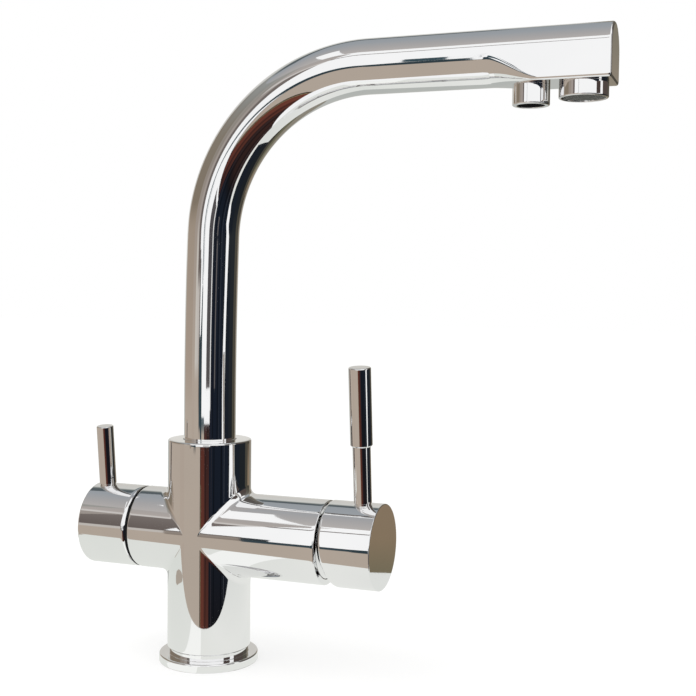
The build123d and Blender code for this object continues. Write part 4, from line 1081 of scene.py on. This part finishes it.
# The back
wall("dark_side", (117, 142), (-60, (32, 36, 40)), (-12, (30, 34, 38)), (4, SILL_DARK), (7, SILL_BROWN),
     (30, DIM_BROWN), (60, GREY_TOP))
wall("back_right", (142, 156), (-60, (60, 58, 52)), (0, (78, 74, 64)), (60, (120, 118, 112)))
wall("back_brown", (156, 168), (-60, (108, 106, 86)), (-16, (108, 106, 86)), (-13, (136, 119, 97)),
     (-9, (139, 121, 101)), (-7, (70, 66, 58)), (5, (78, 74, 66)), (60, (128, 122, 112)))
wall("back_wall", (168, 186), (-60, (150, 148, 138)), (-12, (140, 132, 118)), (3, (152, 142, 127)),
     (14, (142, 132, 118)), (15.6, (130, 124, 110)), (60, (150, 148, 142)))
wall("back_left", (186, 238), (-60, (184, 188, 184)), (-3, (186, 188, 184)), (3, (200, 198, 192)),
     (6, (236, 235, 230)), (9, (206, 203, 197)), (38, (210, 210, 206)), (43, (118, 124, 122)),
     (50, (92, 100, 102)))

# The ceiling with its beam, its lamp and a shaded patch
ceiling_stops = [(-2750, (190, 184, 180)), (-800, (172, 170, 170)), (600, (158, 163, 168))]
ceiling_stops += [(3300, (150, 156, 160))]
ceiling_outline = [(-3300, -2750), (600, -1800), (600, 3300), (-3300, 3300)]
beam_outline = [(-2100, -3850), (-1240, -3420), (-790, -3180), (0, -2900)]
beam_outline += [(0, -2740), (-790, -2980), (-1240, -3200), (-2100, -3600)]
lamp_outline = [(-1300, -700), (-1450, -2250), (-1850, -2250), (-1750, -700)]
shade_outline = [(-600, 2300), (-1700, 1900), (-2200, 800), (-2900, 1000), (-2200, 2300), (-800, 3000)]
level_card("ceiling", ceiling_outline, CEILING_Z, graded("ceiling", "Y", ceiling_stops))
level_card("ceiling_beam", beam_outline, CEILING_Z, plain((124, 118, 116)))
level_card("ceiling_lamp", lamp_outline, UNDER_CEILING, plain((255, 255, 255)))
level_card("ceiling_shade", shade_outline, UNDER_CEILING, plain((88, 96, 100)))

# The white board below the tap, which only the chrome shows, with a bright strip of painted sheen (a painted
# reflection on the board) and a taupe mark
board_stops = [(-270, (224, 227, 221)), (-30, (230, 232, 227)), (60, (236, 237, 233)), (205, (226, 228, 224))]
board_outline = [(-250, -172), (262, -28), (222, 203), (60, 250), (-87, 116), (-290, 66)]
sheen_outline = [(-20, -24), (6, -26), (14, -97), (-34, -110)]
mark_outline = [(-212, -78), (-200, -62), (-182, -60), (-172, -72), (-166, -100)]
mark_outline += [(-150, -135), (-160, -147), (-178, -142), (-196, -126), (-208, -104)]
level_card("board", board_outline, BOARD_Z, graded("board", "X", board_stops))
level_card("board_sheen", sheen_outline, ON_BOARD, plain((252, 253, 250)))
level_card("board_mark", mark_outline, ON_BOARD, plain((176, 165, 153)))

# Floor, world light and lamp: the lamp's values in watts and metres

LAMP_WATTS = 6.0
LAMP_SIZE = 1.0
LAMP_PLACE = (-0.6, -0.5, 1.5)
TAP_MIDDLE = (0.05, 0, 0.15)
FLOOR_REACH = 6000.0
FLOOR_OWN_SHARE = 0.6
FLOOR_OWN_LIGHT = 1.07


def math_node(nodes, links, operation, *inputs):
    """A maths node on sockets or numbers: returns its result socket."""
    made = nodes.new("ShaderNodeMath")
    made.operation = operation
    for socket, value in zip(made.inputs, inputs):
        if isinstance(value, bpy.types.NodeSocket):
            links.new(value, socket)
        else:
            socket.default_value = value
    return made.outputs[0]


def floor_material():
    """White floor: diffuse white that keeps the shadow, mixed with light of its own.

    The share of its own light counts for camera, mirror and glass rays. The chrome doesn't show the
    floor, because the floor sheet is hidden from mirror rays.
    """
    made = bpy.data.materials.new("floor")
    made.use_nodes = True
    nodes, links = made.node_tree.nodes, made.node_tree.links
    shader = nodes["Principled BSDF"]
    shader.inputs["Base Color"].default_value = (0.93, 0.93, 0.92, 1)
    shader.inputs["Roughness"].default_value = 0.9
    shader.inputs["Specular IOR Level"].default_value = 0.0
    path = nodes.new("ShaderNodeLightPath").outputs
    seen = math_node(nodes, links, "MAXIMUM", path["Is Camera Ray"], path["Is Glossy Ray"])
    seen = math_node(nodes, links, "MAXIMUM", seen, path["Is Transmission Ray"])
    share = math_node(nodes, links, "MULTIPLY", seen, FLOOR_OWN_SHARE)
    white = nodes.new("ShaderNodeEmission")
    white.inputs["Color"].default_value = (1, 1, 1, 1)
    white.inputs["Strength"].default_value = FLOOR_OWN_LIGHT
    mix = nodes.new("ShaderNodeMixShader")
    links.new(share, mix.inputs["Fac"])
    links.new(shader.outputs["BSDF"], mix.inputs[1])
    links.new(white.outputs["Emission"], mix.inputs[2])
    links.new(mix.outputs["Shader"], nodes["Material Output"].inputs["Surface"])
    return made


def floor_sheet():
    """A flat square floor about the tap."""
    ends = np.array([-FLOOR_REACH, FLOOR_REACH])
    x, y = np.meshgrid(ends, ends)
    piece = surface("floor", [np.stack([x, y, 0 * x], -1)])
    piece.data.materials.append(floor_material())
    piece.visible_glossy = False


def world_light():
    """A plain white world of strength 1 for every kind of ray."""
    world = bpy.data.worlds.new("world")
    bpy.context.scene.world = world
    world.use_nodes = True
    back = world.node_tree.nodes["Background"]
    back.inputs["Color"].default_value = (1, 1, 1, 1)
    back.inputs["Strength"].default_value = 1.0


def soft_lamp():
    """A square lamp above the tap's left front, turned towards its middle and hidden from mirror rays."""
    light = bpy.data.lights.new("soft_lamp", "AREA")
    light.energy = LAMP_WATTS
    light.size = LAMP_SIZE
    lamp = bpy.data.objects.new("soft_lamp", light)
    lamp.location = LAMP_PLACE
    lamp.rotation_mode = "QUATERNION"
    lamp.rotation_quaternion = (Vector(TAP_MIDDLE) - lamp.location).to_track_quat("-Z", "Y")
    lamp.visible_glossy = False
    bpy.context.scene.collection.objects.link(lamp)


floor_sheet()
world_light()
soft_lamp()

# Camera, fitted to the photo: its place in metres, its angles in radians and its focal length in pixels

CAMERA_PLACE = (0.2863, -0.55386, 0.20186)
YAW = 0.3567
PITCH = 0.0485
ROLL = 0.0111
FOCAL_PIXELS = 1138.4
PHOTO_WIDTH = 696
SENSOR_WIDTH = 36
NEAREST = 0.01
FARTHEST = 50


def photo_camera():
    """Looks along (-sin yaw cos pitch, cos yaw cos pitch, -sin pitch), its picture turned by the roll."""
    across = math.cos(PITCH)
    forward = Vector((-math.sin(YAW) * across, math.cos(YAW) * across, -math.sin(PITCH)))
    right = Vector((math.cos(YAW), math.sin(YAW), 0))
    up = right.cross(forward)
    image_right = math.cos(ROLL) * right + math.sin(ROLL) * up
    image_up = -math.sin(ROLL) * right + math.cos(ROLL) * up
    view = bpy.data.cameras.new("camera")
    view.lens = FOCAL_PIXELS / PHOTO_WIDTH * SENSOR_WIDTH
    view.sensor_width = SENSOR_WIDTH
    view.clip_start, view.clip_end = NEAREST, FARTHEST
    camera = bpy.data.objects.new("camera", view)
    turn = Matrix((image_right, image_up, -forward)).transposed().to_4x4()
    camera.matrix_world = Matrix.Translation(CAMERA_PLACE) @ turn
    bpy.context.scene.collection.objects.link(camera)
    bpy.context.scene.camera = camera


photo_camera()
bpy.context.scene.view_settings.view_transform = "Standard"
